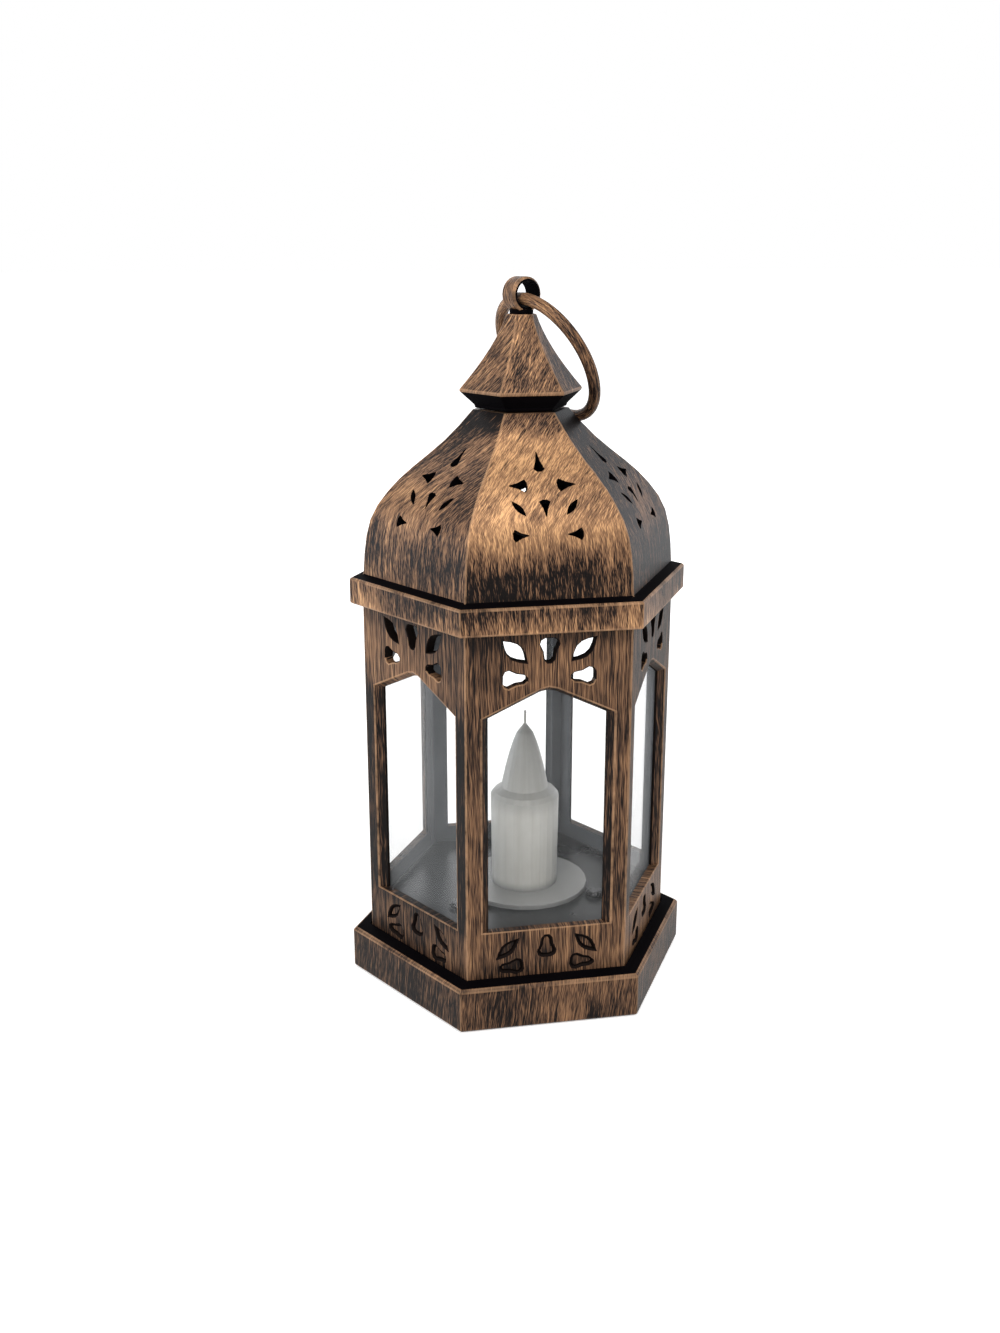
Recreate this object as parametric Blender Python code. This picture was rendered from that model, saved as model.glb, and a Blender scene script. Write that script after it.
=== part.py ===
"""Hexagonal pierced lantern: glazed cage, ogee roof, hanging ring and a battery candle inside.

Metres, +Z up. The origin is under the middle of the plinth, corners lie on the X axis and the
front face looks towards -Y. Sizes of hexagonal pieces are measured across their flats.
"""

import math
from collections import namedtuple

import bmesh
import bpy
from mathutils import Matrix, Vector
from mathutils.bvhtree import BVHTree

# Clearances
SEAT = 0.0003
SCREW_PLAY = 0.0003
DOOR_PLAY = 0.0004

# Cage: the hexagonal frame that everything else is set around
CAGE_FLATS = 0.0534
CAGE_HEIGHT = 0.0718
CAGE_WALL = 0.0018
WINDOW_WIDTH = 0.0250
ARCH_RISE = 0.0059
APEX_ROUNDING = 0.0016
STILE_REVEAL = 0.0014
ARCH_REVEAL = 0.0009
REVEAL_DEPTH = 0.0013
FRIEZE_HEIGHT = 0.0100
RAIL_HEIGHT = 0.0094
RAIL_PETAL_DEPTH = 0.0007

# Window panes
PANE_THICKNESS = 0.0010
PANE_LAP = 0.0010

# Plinth
PLINTH_PROJECTION = 0.0033
PLINTH_SIDE_HEIGHT = 0.0089
PLINTH_HEIGHT = 0.0094
PLINTH_WALL = 0.0020
PLINTH_EASE = 0.0005
SHELF_TOP = 0.0074
SHELF_THICKNESS = 0.0020
SHELF_LAP = 0.0008

# Roof: cornice and ogee dome in one moulding
CORNICE_PROJECTION = 0.0021
CORNICE_HEIGHT = 0.0051
CORNICE_LAP = 0.0025
CORNICE_LEDGE_RISE = 0.0005
CORNICE_EASE = 0.0003
DOME_SETBACK = 0.0002
DOME_HEIGHT = 0.0307
DOME_NECK_FLATS = 0.0161
DOME_FOOT_RISE = 0.0157
DOME_SWEEP_OUT = 0.0083
DOME_SWEEP_DOWN = 0.0114
DOME_WALL = 0.0016
DOME_STEPS = 11

# Finial
FINIAL_NECK_FLATS = 0.0154
FINIAL_NECK_HEIGHT = 0.0005
FINIAL_FLARE_FLATS = 0.0204
FINIAL_FLARE_RISE = 0.0026
FINIAL_FLARE_EDGE = 0.0004
FINIAL_SPIRE_HEIGHT = 0.0135
FINIAL_TOP_FLATS = 0.0050
FINIAL_WAIST_FLATS = 0.0083
FINIAL_WAIST_HEIGHT = 0.0078
FINIAL_STEPS = 8
SPIGOT_FLATS = 0.0056
FINIAL_SCREW_LENGTH = 0.0060
FINIAL_SCREW_HEAD_RADIUS = 0.0044

# Hanging eye and ring
EYE_RADIUS = 0.0032
EYE_LENGTH = 0.0040
EYE_EDGE = 0.0004
EYE_PLAY = 0.0012
EYE_YAW = math.radians(-66.0)
EYE_FOOT_RADIUS = 0.0022
EYE_SHANK_RADIUS = 0.0012
EYE_SHANK_LENGTH = 0.0060
RING_RADIUS = 0.0126
RING_WIRE_RADIUS = 0.0012

# Floor of the lantern room
FLOOR_DROP = 0.0033
FLOOR_THICKNESS = 0.0016
FLOOR_SKIRT = 0.0014
FLOOR_HOLE_RADIUS = 0.0052
SCREW_FIRST_ANGLE = math.radians(-30.0)
SCREW_RADIUS = 0.0010
SCREW_HEAD_RADIUS = 0.0019
SCREW_HEAD_HEIGHT = 0.0010
SCREW_LENGTH = 0.0070
POST_RADIUS = 0.0021

# Candle and lamp
CANDLE_X = 0.0011
CANDLE_FLANGE_RADIUS = 0.0129
CANDLE_FLANGE_THICKNESS = 0.0009
CANDLE_FOOT_RADIUS = 0.0067
CANDLE_TOP_RADIUS = 0.00695
CANDLE_BODY_HEIGHT = 0.0190
CANDLE_SHOULDER_HEIGHT = 0.0018
CANDLE_WALL = 0.0010
FLAME_RADIUS = 0.0048
FLAME_HEIGHT = 0.0134
FLAME_FULLNESS = 0.55
FLAME_STEPS = 7
WICK_RADIUS = 0.00025
WICK_HEIGHT = 0.0026
LED_RADIUS = 0.0025
LED_FLANGE_RADIUS = 0.0029
LED_FLANGE_HEIGHT = 0.0010
LED_BODY_HEIGHT = 0.0055
LED_DROP = 0.0032
LED_PITCH = 0.00254
LED_LEAD = 0.0005

# Base tray with the battery well
TRAY_LIFT = 0.0010
TRAY_THICKNESS = 0.0022
TRAY_RIM = 0.0012
WELL_Y = -0.0115
WELL_WALL = 0.0010
CELL_RADIUS = 0.0100
CELL_HEIGHT = 0.0032
CELL_CAP_RADIUS = 0.0088
CELL_CAP_HEIGHT = 0.0004
CELL_PLAY = 0.0004

# Battery door on a snap-in barrel hinge
DOOR_HALF_WIDTH = 0.0122
DOOR_THICKNESS = 0.0011
DOOR_FREE_EDGE_Y = 0.0009
DOOR_BARREL_RADIUS = 0.00105
DOOR_PIN_RADIUS = 0.0005
DOOR_PIN_LENGTH = 0.0012
DOOR_HINGE_Y = -0.0232
THUMB_NOTCH_RADIUS = 0.0035
THUMB_NOTCH_DEPTH = 0.0012

# Circuit board, contacts and switch
BOARD_LENGTH = 0.0270
BOARD_WIDTH = 0.0120
BOARD_Y = 0.0035
BOARD_THICKNESS = 0.0012
BOARD_LIFT = 0.0042
BOARD_LEFT_POST_INSET = 0.0030
BOARD_LEFT_POST_Y = 0.0040
BOARD_RIGHT_POST = (0.0024, 0.0072)
BOARD_SCREW_LENGTH = 0.0040
CONTACT_THICKNESS = 0.0003
CONTACT_WIDTH = 0.0036
CONTACT_TAIL = 0.0030
SIDE_CONTACT_X = -0.0050
SIDE_CONTACT_WIDTH = 0.0020
SWITCH_X = 0.0090
SWITCH_Y = 0.0052
SWITCH_LENGTH = 0.0086
SWITCH_WIDTH = 0.0038
SWITCH_HEIGHT = 0.0034
SWITCH_STEM_LENGTH = 0.0022
SWITCH_STEM_WIDTH = 0.0016
SWITCH_KNOB_LENGTH = 0.0030
SWITCH_KNOB_HEIGHT = 0.0009
SWITCH_TRAVEL = 0.0030

# Facets of round pieces
ROUND_SIDES = 24
RING_SIDES = 48
WIRE_SIDES = 10
SCREW_SIDES = 12

# Petals of the pierced and sunk pattern on one face, right half: across the face and up it.
# Frieze heights are measured from the cornice, rail heights from the sill and dome heights
# along the face from the dome's foot.
Petal = namedtuple("Petal", "kind tip end width")
FRIEZE_PETALS = (
    Petal("drop", (0.0, -0.0058), (0.0, -0.0013), 0.0035),
    Petal("lens", (0.0042, -0.0056), (0.0085, -0.0015), 0.0027),
    Petal("drop", (0.0041, -0.0088), (0.0085, -0.0087), 0.0034),
)
RAIL_PETALS = (
    Petal("drop", (0.0, -0.0016), (0.0, -0.0057), 0.0032),
    Petal("lens", (0.0058, -0.0020), (0.0094, -0.0054), 0.0019),
    Petal("drop", (0.0090, -0.0077), (0.0048, -0.0074), 0.0028),
)
DOME_PETALS = (
    Petal("wedge", (0.0, 0.0287), (0.0, 0.0244), 0.0020),
    Petal("wedge", (0.0058, 0.0216), (0.0026, 0.0215), 0.0028),
    Petal("lens", (0.0058, 0.0185), (0.0035, 0.0154), 0.0012),
    Petal("wedge", (0.0, 0.0152), (0.0, 0.0186), 0.0020),
    Petal("wedge", (0.0034, 0.0118), (0.0062, 0.0118), 0.0024),
)
DROP_HALF = ((0.0, 0.20), (0.13, 0.50), (0.45, 0.62), (0.76, 1.0), (0.92, 0.86), (1.0, 0.42))
WEDGE_HALF = ((0.0, 0.08), (0.45, 0.42), (0.87, 1.0), (1.0, 0.42))
LENS_STEPS = 5

# Levels and half sizes worked out from the values above
FACES = 6
COS_30 = math.cos(math.radians(30.0))
CUT_PAST = 0.0010
EMBED = 0.0005

CAGE_OUTER = CAGE_FLATS / 2
CAGE_INNER = CAGE_OUTER - CAGE_WALL
CAGE_FOOT_Z = SHELF_TOP + SEAT
CAGE_TOP_Z = CAGE_FOOT_Z + CAGE_HEIGHT
CORNICE_Z = CAGE_TOP_Z + SEAT - CORNICE_LAP
CORNICE_TOP_Z = CORNICE_Z + CORNICE_HEIGHT
DOME_FOOT_Z = CORNICE_TOP_Z + CORNICE_LEDGE_RISE
DOME_TOP_Z = DOME_FOOT_Z + DOME_HEIGHT
DOME_FOOT = CAGE_OUTER - DOME_SETBACK
SILL_Z = PLINTH_HEIGHT + RAIL_HEIGHT
APEX_Z = CORNICE_Z - FRIEZE_HEIGHT
SPRING_Z = APEX_Z - ARCH_RISE
PLINTH_OUTER = CAGE_OUTER + PLINTH_PROJECTION
PLINTH_INNER = PLINTH_OUTER - PLINTH_WALL
FLOOR_OUTER = CAGE_INNER - SEAT
FLOOR_INNER = FLOOR_OUTER - FLOOR_SKIRT
FLOOR_TOP_Z = SILL_Z - FLOOR_DROP
FLOOR_UNDER_Z = FLOOR_TOP_Z - FLOOR_THICKNESS
SHELF_INNER = FLOOR_INNER - SHELF_LAP
TRAY_OUTER = PLINTH_INNER - SEAT
TRAY_TOP_Z = TRAY_LIFT + TRAY_THICKNESS
TRAY_RIM_Z = SHELF_TOP - SHELF_THICKNESS - SEAT
BOARD_UNDER_Z = TRAY_TOP_Z + BOARD_LIFT
BOARD_TOP_Z = BOARD_UNDER_Z + BOARD_THICKNESS
BOARD_POSTS = ((BOARD_LEFT_POST_INSET - BOARD_LENGTH / 2, BOARD_LEFT_POST_Y), BOARD_RIGHT_POST)
CELL_UNDER_Z = TRAY_LIFT + DOOR_THICKNESS + CELL_PLAY
CELL_TOP_Z = CELL_UNDER_Z + CELL_HEIGHT
WELL_RADIUS = CELL_RADIUS + CELL_PLAY
HINGE_Z = TRAY_LIFT + DOOR_BARREL_RADIUS
CANDLE_FOOT_Z = FLOOR_TOP_Z + SEAT
SCREW_CIRCLE_RADIUS = CANDLE_FLANGE_RADIUS + CANDLE_X + SCREW_HEAD_RADIUS + SEAT
SHOULDER_Z = CANDLE_FOOT_Z + CANDLE_FLANGE_THICKNESS + CANDLE_BODY_HEIGHT
FLAME_Z = SHOULDER_Z + CANDLE_SHOULDER_HEIGHT
FINIAL_Z = DOME_TOP_Z + SEAT
FLARE_Z = FINIAL_Z + FINIAL_NECK_HEIGHT + FINIAL_FLARE_RISE
SPIRE_TOP_Z = FLARE_Z + FINIAL_FLARE_EDGE + FINIAL_SPIRE_HEIGHT
EYE_Z = SPIRE_TOP_Z + SEAT + EYE_RADIUS
EYE_HOLE_RADIUS = RING_WIRE_RADIUS + EYE_PLAY
RING_SAG = (EYE_LENGTH / 2) ** 2 / (2 * RING_RADIUS)
RING_Z = EYE_Z - EYE_PLAY + SEAT + RING_SAG


# Finishes

def finish(name, colour, roughness, metallic=0.0, alpha=1.0):
    """A Principled material of one colour."""
    material = bpy.data.materials.new(name)
    material.use_nodes = True
    shader = material.node_tree.nodes["Principled BSDF"]
    shader.inputs["Base Color"].default_value = (*colour, 1.0)
    shader.inputs["Roughness"].default_value = roughness
    shader.inputs["Metallic"].default_value = metallic
    shader.inputs["Alpha"].default_value = alpha
    return material


def finishes():
    """Every finish of the lantern by name."""
    return {
        "bronze": finish("brushed_bronze", (0.22, 0.12, 0.06), 0.50, 0.35),
        "dark": finish("dark_plastic", (0.07, 0.08, 0.09), 0.60),
        "clear": finish("clear_pane", (0.92, 0.95, 0.96), 0.08, alpha=0.2),
        "wax": finish("milky_candle", (0.62, 0.62, 0.58), 0.45),
        "lamp": finish("lamp_epoxy", (0.90, 0.86, 0.70), 0.15),
        "board": finish("board_laminate", (0.05, 0.20, 0.10), 0.55),
        "steel": finish("plated_steel", (0.62, 0.62, 0.60), 0.35, 1.0),
        "black": finish("black_plastic", (0.02, 0.02, 0.02), 0.50),
    }


# Modelling helpers

def linked(name, mesh):
    """A new object of this mesh in the scene."""
    obj = bpy.data.objects.new(name, mesh)
    bpy.context.collection.objects.link(obj)
    return obj


def bake(obj):
    """Replaces the object's mesh by the result of its modifiers."""
    bpy.context.view_layer.update()
    graph = bpy.context.evaluated_depsgraph_get()
    mesh = bpy.data.meshes.new_from_object(obj.evaluated_get(graph))
    obj.modifiers.clear()
    obj.data = mesh


def turned(name, profile, sides):
    """A solid turned about Z from a profile of (radius, z) that runs down its outer side.

    A profile that starts and ends on the axis is open; any other is closed.
    """
    on_axis = profile[0][0] == 0.0 and profile[-1][0] == 0.0
    count = len(profile)
    last = count - 1 if on_axis else count
    edges = [(i, (i + 1) % count) for i in range(last)]
    mesh = bpy.data.meshes.new(name)
    mesh.from_pydata([(radius, 0.0, z) for radius, z in profile], edges, [])
    obj = linked(name, mesh)
    screw = obj.modifiers.new("Turn", "SCREW")
    screw.steps = sides
    screw.render_steps = sides
    screw.use_merge_vertices = True
    screw.merge_threshold = 0.000001
    screw.use_smooth_shade = False
    bake(obj)
    return obj


def hex_turned(name, profile):
    """A hexagonal solid from a profile of (half its flats, z)."""
    return turned(name, [(half / COS_30, z) for half, z in profile], FACES)


def lofted(name, stacks):
    """A mesh object of closed solids, each through a stack of outlines of equal count."""
    shape = bmesh.new()
    for stack in stacks:
        rings = [[shape.verts.new(point) for point in outline] for outline in stack]
        count = len(rings[0])
        for lower, upper in zip(rings, rings[1:]):
            for i in range(count):
                j = (i + 1) % count
                shape.faces.new((lower[i], lower[j], upper[j], upper[i]))
        shape.faces.new(reversed(rings[0]))
        shape.faces.new(rings[-1])
    bmesh.ops.recalc_face_normals(shape, faces=shape.faces)
    mesh = bpy.data.meshes.new(name)
    shape.to_mesh(mesh)
    shape.free()
    return linked(name, mesh)


def block_stack(low, high):
    """The two outlines of an upright box between two corners."""
    corners = ((low[0], low[1]), (high[0], low[1]), (high[0], high[1]), (low[0], high[1]))
    return [[Vector((x, y, z)) for x, y in corners] for z in (low[2], high[2])]


def block(name, low, high):
    """An upright box between two corners."""
    return lofted(name, [block_stack(low, high)])


def rod(name, radius, start, end, sides=SCREW_SIDES):
    """A plain round rod between two points."""
    start = Vector(start)
    along = Vector(end) - start
    shape = bmesh.new()
    bmesh.ops.create_cone(
        shape, cap_ends=True, segments=sides, radius1=radius, radius2=radius, depth=along.length
    )
    turn = Vector((0.0, 0.0, 1.0)).rotation_difference(along).to_matrix().to_4x4()
    shape.transform(Matrix.Translation(start + along / 2) @ turn)
    mesh = bpy.data.meshes.new(name)
    shape.to_mesh(mesh)
    shape.free()
    return linked(name, mesh)


def combine(obj, other, operation):
    """Cuts or joins another object into this one and removes the other."""
    boolean = obj.modifiers.new(operation.title(), "BOOLEAN")
    boolean.solver = "EXACT"
    boolean.operation = operation
    boolean.object = other
    other.hide_render = True
    other.display_type = "WIRE"
    bake(obj)
    bpy.data.objects.remove(other)


def cut(obj, *others):
    """Cuts each of the other objects out of this one."""
    for other in others:
        combine(obj, other, "DIFFERENCE")


def join(obj, *others):
    """Joins each of the other objects to this one."""
    for other in others:
        combine(obj, other, "UNION")


def dress(obj, material, smooth_angle=None):
    """Gives the object its finish and, on a round piece, smooth shading between sharp edges."""
    obj.data.materials.clear()
    obj.data.materials.append(material)
    if smooth_angle is not None:
        obj.data.shade_smooth()
        obj.data.set_sharp_from_angle(angle=math.radians(smooth_angle))
    return obj


def around(stacks):
    """The stacks of the front face repeated on all six faces."""
    turns = [Matrix.Rotation(math.radians(60.0) * face, 4, "Z") for face in range(FACES)]
    return [
        [[turn @ point for point in outline] for outline in stack]
        for turn in turns
        for stack in stacks
    ]


def set_origin(obj, point):
    """Moves the object's origin to a point without moving its shape."""
    obj.data.transform(Matrix.Translation(-Vector(point)))
    obj.location = point


def bezier(points, steps):
    """Evenly stepped points on a Bezier curve of any degree."""
    curve = []
    for step in range(steps + 1):
        t = step / steps
        level = [Vector(point) for point in points]
        while len(level) > 1:
            level = [a.lerp(b, t) for a, b in zip(level, level[1:])]
        curve.append(tuple(level[0]))
    return curve


# Petal outlines

def petal_outline(petal):
    """The outline of one petal on its flat face, as (across, up) points."""
    tip = Vector(petal.tip)
    axis = Vector(petal.end) - tip
    side = Vector((-axis.y, axis.x)).normalized() * petal.width / 2
    shares = [step / LENS_STEPS for step in range(LENS_STEPS + 1)]
    half = {
        "lens": [(share, math.sin(math.pi * share)) for share in shares],
        "drop": DROP_HALF,
        "wedge": WEDGE_HALF,
    }[petal.kind]
    right = [tip + axis * along + side * out for along, out in half]
    left = [tip + axis * along - side * out for along, out in reversed(half)]
    if petal.kind == "lens":
        left = left[1:-1]
    return right + left


def both_sides(petals):
    """The outlines of a half pattern and of its mirror image across the face's middle."""
    outlines = []
    for petal in petals:
        outline = petal_outline(petal)
        outlines.append(outline)
        if petal.tip[0] or petal.end[0]:
            outlines.append([Vector((-point.x, point.y)) for point in reversed(outline)])
    return outlines


def wall_stack(outline, datum, outer, inner):
    """A flat outline carried through an upright front wall from outside to inside."""
    return [[Vector((p.x, -depth, datum + p.y)) for p in outline] for depth in (outer, inner)]


# Plinth and base tray

def plinth(look):
    """Hexagonal skirt with a sloping shoulder and a shelf that the cage stands on."""
    mouth = CAGE_OUTER + SEAT
    obj = hex_turned("plinth", [
        (mouth, PLINTH_HEIGHT),
        (PLINTH_OUTER - PLINTH_EASE, PLINTH_SIDE_HEIGHT),
        (PLINTH_OUTER, PLINTH_SIDE_HEIGHT - PLINTH_EASE),
        (PLINTH_OUTER, PLINTH_EASE),
        (PLINTH_OUTER - PLINTH_EASE, 0.0),
        (PLINTH_INNER, 0.0),
        (PLINTH_INNER, SHELF_TOP - SHELF_THICKNESS),
        (SHELF_INNER, SHELF_TOP - SHELF_THICKNESS),
        (SHELF_INNER, SHELF_TOP),
        (mouth, SHELF_TOP),
    ])
    return dress(obj, look["bronze"])


def screw_places():
    """The places of the three floor screws, as (x, y)."""
    angles = [SCREW_FIRST_ANGLE + math.radians(120.0) * i for i in range(3)]
    return [(SCREW_CIRCLE_RADIUS * math.cos(a), SCREW_CIRCLE_RADIUS * math.sin(a)) for a in angles]


def hinge_slot_half():
    """Half the length of the slot that takes the door's barrel."""
    return DOOR_HALF_WIDTH + DOOR_PLAY


def base_tray(look):
    """Shallow hexagonal tray that closes the plinth, with the battery well and its posts."""
    rim_inner = TRAY_OUTER - TRAY_RIM
    obj = hex_turned("base_tray", [
        (0.0, TRAY_TOP_Z),
        (rim_inner, TRAY_TOP_Z),
        (rim_inner, TRAY_RIM_Z),
        (TRAY_OUTER, TRAY_RIM_Z),
        (TRAY_OUTER, TRAY_LIFT),
        (0.0, TRAY_LIFT),
    ])
    root = TRAY_TOP_Z - EMBED
    well_foot = (0.0, WELL_Y, root)
    well_top = (0.0, WELL_Y, TRAY_RIM_Z)
    join(obj, rod("well_wall", WELL_RADIUS + WELL_WALL, well_foot, well_top, ROUND_SIDES))
    for x, y in screw_places():
        join(obj, rod("post", POST_RADIUS, (x, y, root), (x, y, FLOOR_UNDER_Z - SEAT)))
    for x, y in BOARD_POSTS:
        join(obj, rod("board_post", POST_RADIUS, (x, y, root), (x, y, BOARD_UNDER_Z - SEAT)))
    cut_base_tray(obj)
    return dress(obj, look["dark"])


def cut_base_tray(obj):
    """Cuts the tray's well, door recess, hinge, contact notch, switch slot and screw holes."""
    below = TRAY_LIFT - CUT_PAST
    recess_top = TRAY_LIFT + DOOR_THICKNESS + SEAT
    half = hinge_slot_half()
    free_edge = DOOR_FREE_EDGE_Y + DOOR_PLAY
    slot_wall = DOOR_BARREL_RADIUS + SEAT
    well_top = TRAY_RIM_Z + CUT_PAST
    cut(
        obj,
        rod("well_bore", WELL_RADIUS, (0.0, WELL_Y, below), (0.0, WELL_Y, well_top), ROUND_SIDES),
        block("door_recess", (-half, DOOR_HINGE_Y, below), (half, free_edge, recess_top)),
        block("hinge_slot", (-half, DOOR_HINGE_Y - slot_wall, below),
              (half, DOOR_HINGE_Y + slot_wall, TRAY_TOP_Z + CUT_PAST)),
        rod("hinge_holes", DOOR_PIN_RADIUS + SEAT,
            (-half - DOOR_PIN_LENGTH - SEAT, DOOR_HINGE_Y, HINGE_Z),
            (half + DOOR_PIN_LENGTH + SEAT, DOOR_HINGE_Y, HINGE_Z)),
        rod("thumb_notch", THUMB_NOTCH_RADIUS, (0.0, free_edge, below),
            (0.0, free_edge, TRAY_LIFT + THUMB_NOTCH_DEPTH), ROUND_SIDES),
    )
    notch_half = SIDE_CONTACT_WIDTH / 2 + SEAT
    well_edge = WELL_Y + WELL_RADIUS
    notch_front = well_edge - SIDE_CONTACT_WIDTH * 2
    cut(obj, block("contact_notch", (SIDE_CONTACT_X - notch_half, notch_front, TRAY_TOP_Z),
                   (SIDE_CONTACT_X + notch_half, well_edge + WELL_WALL, well_top)))
    stem_half = SWITCH_STEM_WIDTH / 2 + SEAT
    knob_half = SWITCH_KNOB_LENGTH / 2 + SEAT
    cut(obj, block("switch_slot", (SWITCH_X - knob_half, SWITCH_Y - stem_half, below),
                   (SWITCH_X + SWITCH_TRAVEL + knob_half, SWITCH_Y + stem_half, TRAY_TOP_Z + CUT_PAST)))
    for x, y in screw_places():
        top = FLOOR_UNDER_Z + CUT_PAST
        cut(obj, rod("pilot", SCREW_RADIUS + SCREW_PLAY, (x, y, FLOOR_TOP_Z - SCREW_LENGTH), (x, y, top)))
    for x, y in BOARD_POSTS:
        tip = BOARD_TOP_Z - BOARD_SCREW_LENGTH
        top = BOARD_UNDER_Z + CUT_PAST
        cut(obj, rod("pilot", SCREW_RADIUS + SCREW_PLAY, (x, y, tip), (x, y, top)))


def battery_door(look):
    """Flat door over the battery well, hung on a barrel with two end pins."""
    x = DOOR_HALF_WIDTH
    obj = block("battery_door", (-x, DOOR_HINGE_Y, TRAY_LIFT),
                (x, DOOR_FREE_EDGE_Y, TRAY_LIFT + DOOR_THICKNESS))
    barrel = rod("barrel", DOOR_BARREL_RADIUS, (-x, DOOR_HINGE_Y, HINGE_Z), (x, DOOR_HINGE_Y, HINGE_Z))
    reach = hinge_slot_half() + DOOR_PIN_LENGTH
    pins = rod("pins", DOOR_PIN_RADIUS, (-reach, DOOR_HINGE_Y, HINGE_Z), (reach, DOOR_HINGE_Y, HINGE_Z))
    join(obj, barrel, pins)
    set_origin(obj, (0.0, DOOR_HINGE_Y, HINGE_Z))
    return dress(obj, look["dark"])


def coin_cell(look):
    """Button cell with its smaller cap facing up."""
    can_top = CELL_TOP_Z - CELL_CAP_HEIGHT
    obj = turned("coin_cell", [
        (0.0, CELL_TOP_Z),
        (CELL_CAP_RADIUS, CELL_TOP_Z),
        (CELL_CAP_RADIUS, can_top),
        (CELL_RADIUS, can_top),
        (CELL_RADIUS, CELL_UNDER_Z),
        (0.0, CELL_UNDER_Z),
    ], ROUND_SIDES)
    set_origin(obj, (0.0, 0.0, 0.0))
    obj.data.transform(Matrix.Translation((0.0, WELL_Y, 0.0)))
    return dress(obj, look["steel"], 40.0)


# Board, contacts and switch

def circuit_board(look):
    """Narrow board on two posts that carries the lamp, the contacts and the switch."""
    half = BOARD_LENGTH / 2
    obj = block("circuit_board", (-half, BOARD_Y - BOARD_WIDTH / 2, BOARD_UNDER_Z),
                (half, BOARD_Y + BOARD_WIDTH / 2, BOARD_TOP_Z))
    for x, y in BOARD_POSTS:
        cut(obj, rod("hole", SCREW_RADIUS + SCREW_PLAY, (x, y, BOARD_UNDER_Z - CUT_PAST),
                     (x, y, BOARD_TOP_Z + CUT_PAST)))
    return dress(obj, look["board"])


def strip(name, route, half_width, centre_x):
    """A bent strip of sheet metal that follows a route of (y, z) points."""
    lower = [Vector((0.0, y, z)) for y, z in route]
    upper = [Vector((0.0, y, z + CONTACT_THICKNESS)) for y, z in reversed(route)]
    outline = lower + upper
    sides = [Vector((centre_x + side * half_width, 0.0, 0.0)) for side in (-1, 1)]
    return lofted(name, [[[point + side for point in outline] for side in sides]])


def contact_spring(look):
    """Leaf that runs out from under the board and dips onto the cell's cap."""
    tail = BOARD_UNDER_Z - SEAT - CONTACT_THICKNESS
    touch = CELL_TOP_Z + SEAT
    board_edge = BOARD_Y - BOARD_WIDTH / 2
    near = WELL_Y + CELL_CAP_RADIUS / 2
    obj = strip("contact_spring", [
        (board_edge + CONTACT_TAIL, tail),
        (WELL_Y + WELL_RADIUS - SEAT, tail),
        (near, touch),
        (WELL_Y - CONTACT_TAIL, touch),
    ], CONTACT_WIDTH / 2, 0.0)
    return dress(obj, look["steel"])


def contact_side(look):
    """Upright tab under the board that bears on the side of the cell."""
    chord = math.sqrt(CELL_RADIUS ** 2 - (abs(SIDE_CONTACT_X) - SIDE_CONTACT_WIDTH / 2) ** 2)
    y = WELL_Y + chord + SEAT
    half = SIDE_CONTACT_WIDTH / 2
    obj = block("contact_side", (SIDE_CONTACT_X - half, y, TRAY_TOP_Z + SEAT),
                (SIDE_CONTACT_X + half, y + CONTACT_THICKNESS, BOARD_UNDER_Z - SEAT))
    return dress(obj, look["steel"])


def switch_body(look):
    """Case of the slide switch under the board."""
    top = BOARD_UNDER_Z - SEAT
    middle = SWITCH_X + SWITCH_TRAVEL / 2
    obj = block("switch_body", (middle - SWITCH_LENGTH / 2, SWITCH_Y - SWITCH_WIDTH / 2, top - SWITCH_HEIGHT),
                (middle + SWITCH_LENGTH / 2, SWITCH_Y + SWITCH_WIDTH / 2, top))
    return dress(obj, look["steel"])


def switch_slider(look):
    """Stem and ribbed knob of the switch, reached from under the lantern."""
    case_under = BOARD_UNDER_Z - SEAT - SWITCH_HEIGHT
    knob_top = TRAY_LIFT + SWITCH_KNOB_HEIGHT
    half = SWITCH_KNOB_LENGTH / 2
    width = SWITCH_STEM_WIDTH / 2
    obj = block("switch_slider", (SWITCH_X - half, SWITCH_Y - width, TRAY_LIFT),
                (SWITCH_X + half, SWITCH_Y + width, knob_top))
    stem = SWITCH_STEM_LENGTH / 2
    join(obj, block("stem", (SWITCH_X - stem, SWITCH_Y - width, knob_top - EMBED),
                    (SWITCH_X + stem, SWITCH_Y + width, case_under - SEAT)))
    rib = SWITCH_KNOB_LENGTH / 10
    for step in (-3, 0, 3):
        x = SWITCH_X + step * rib
        cut(obj, block("groove", (x - rib / 2, SWITCH_Y - SWITCH_WIDTH, TRAY_LIFT - CUT_PAST),
                       (x + rib / 2, SWITCH_Y + SWITCH_WIDTH, TRAY_LIFT + SWITCH_KNOB_HEIGHT / 3)))
    set_origin(obj, (SWITCH_X, SWITCH_Y, TRAY_LIFT))
    return dress(obj, look["black"])


# Floor, candle and lamp

def inner_floor(look):
    """Inverted hexagonal tray that the candle stands on."""
    obj = hex_turned("inner_floor", [
        (0.0, FLOOR_TOP_Z),
        (FLOOR_OUTER, FLOOR_TOP_Z),
        (FLOOR_OUTER, CAGE_FOOT_Z),
        (FLOOR_INNER, CAGE_FOOT_Z),
        (FLOOR_INNER, FLOOR_UNDER_Z),
        (0.0, FLOOR_UNDER_Z),
    ])
    low = FLOOR_UNDER_Z - CUT_PAST
    high = FLOOR_TOP_Z + CUT_PAST
    cut(obj, rod("lamp_hole", FLOOR_HOLE_RADIUS, (CANDLE_X, 0.0, low), (CANDLE_X, 0.0, high), ROUND_SIDES))
    for x, y in screw_places():
        cut(obj, rod("hole", SCREW_RADIUS + SCREW_PLAY, (x, y, low), (x, y, high)))
    return dress(obj, look["dark"])


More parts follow.
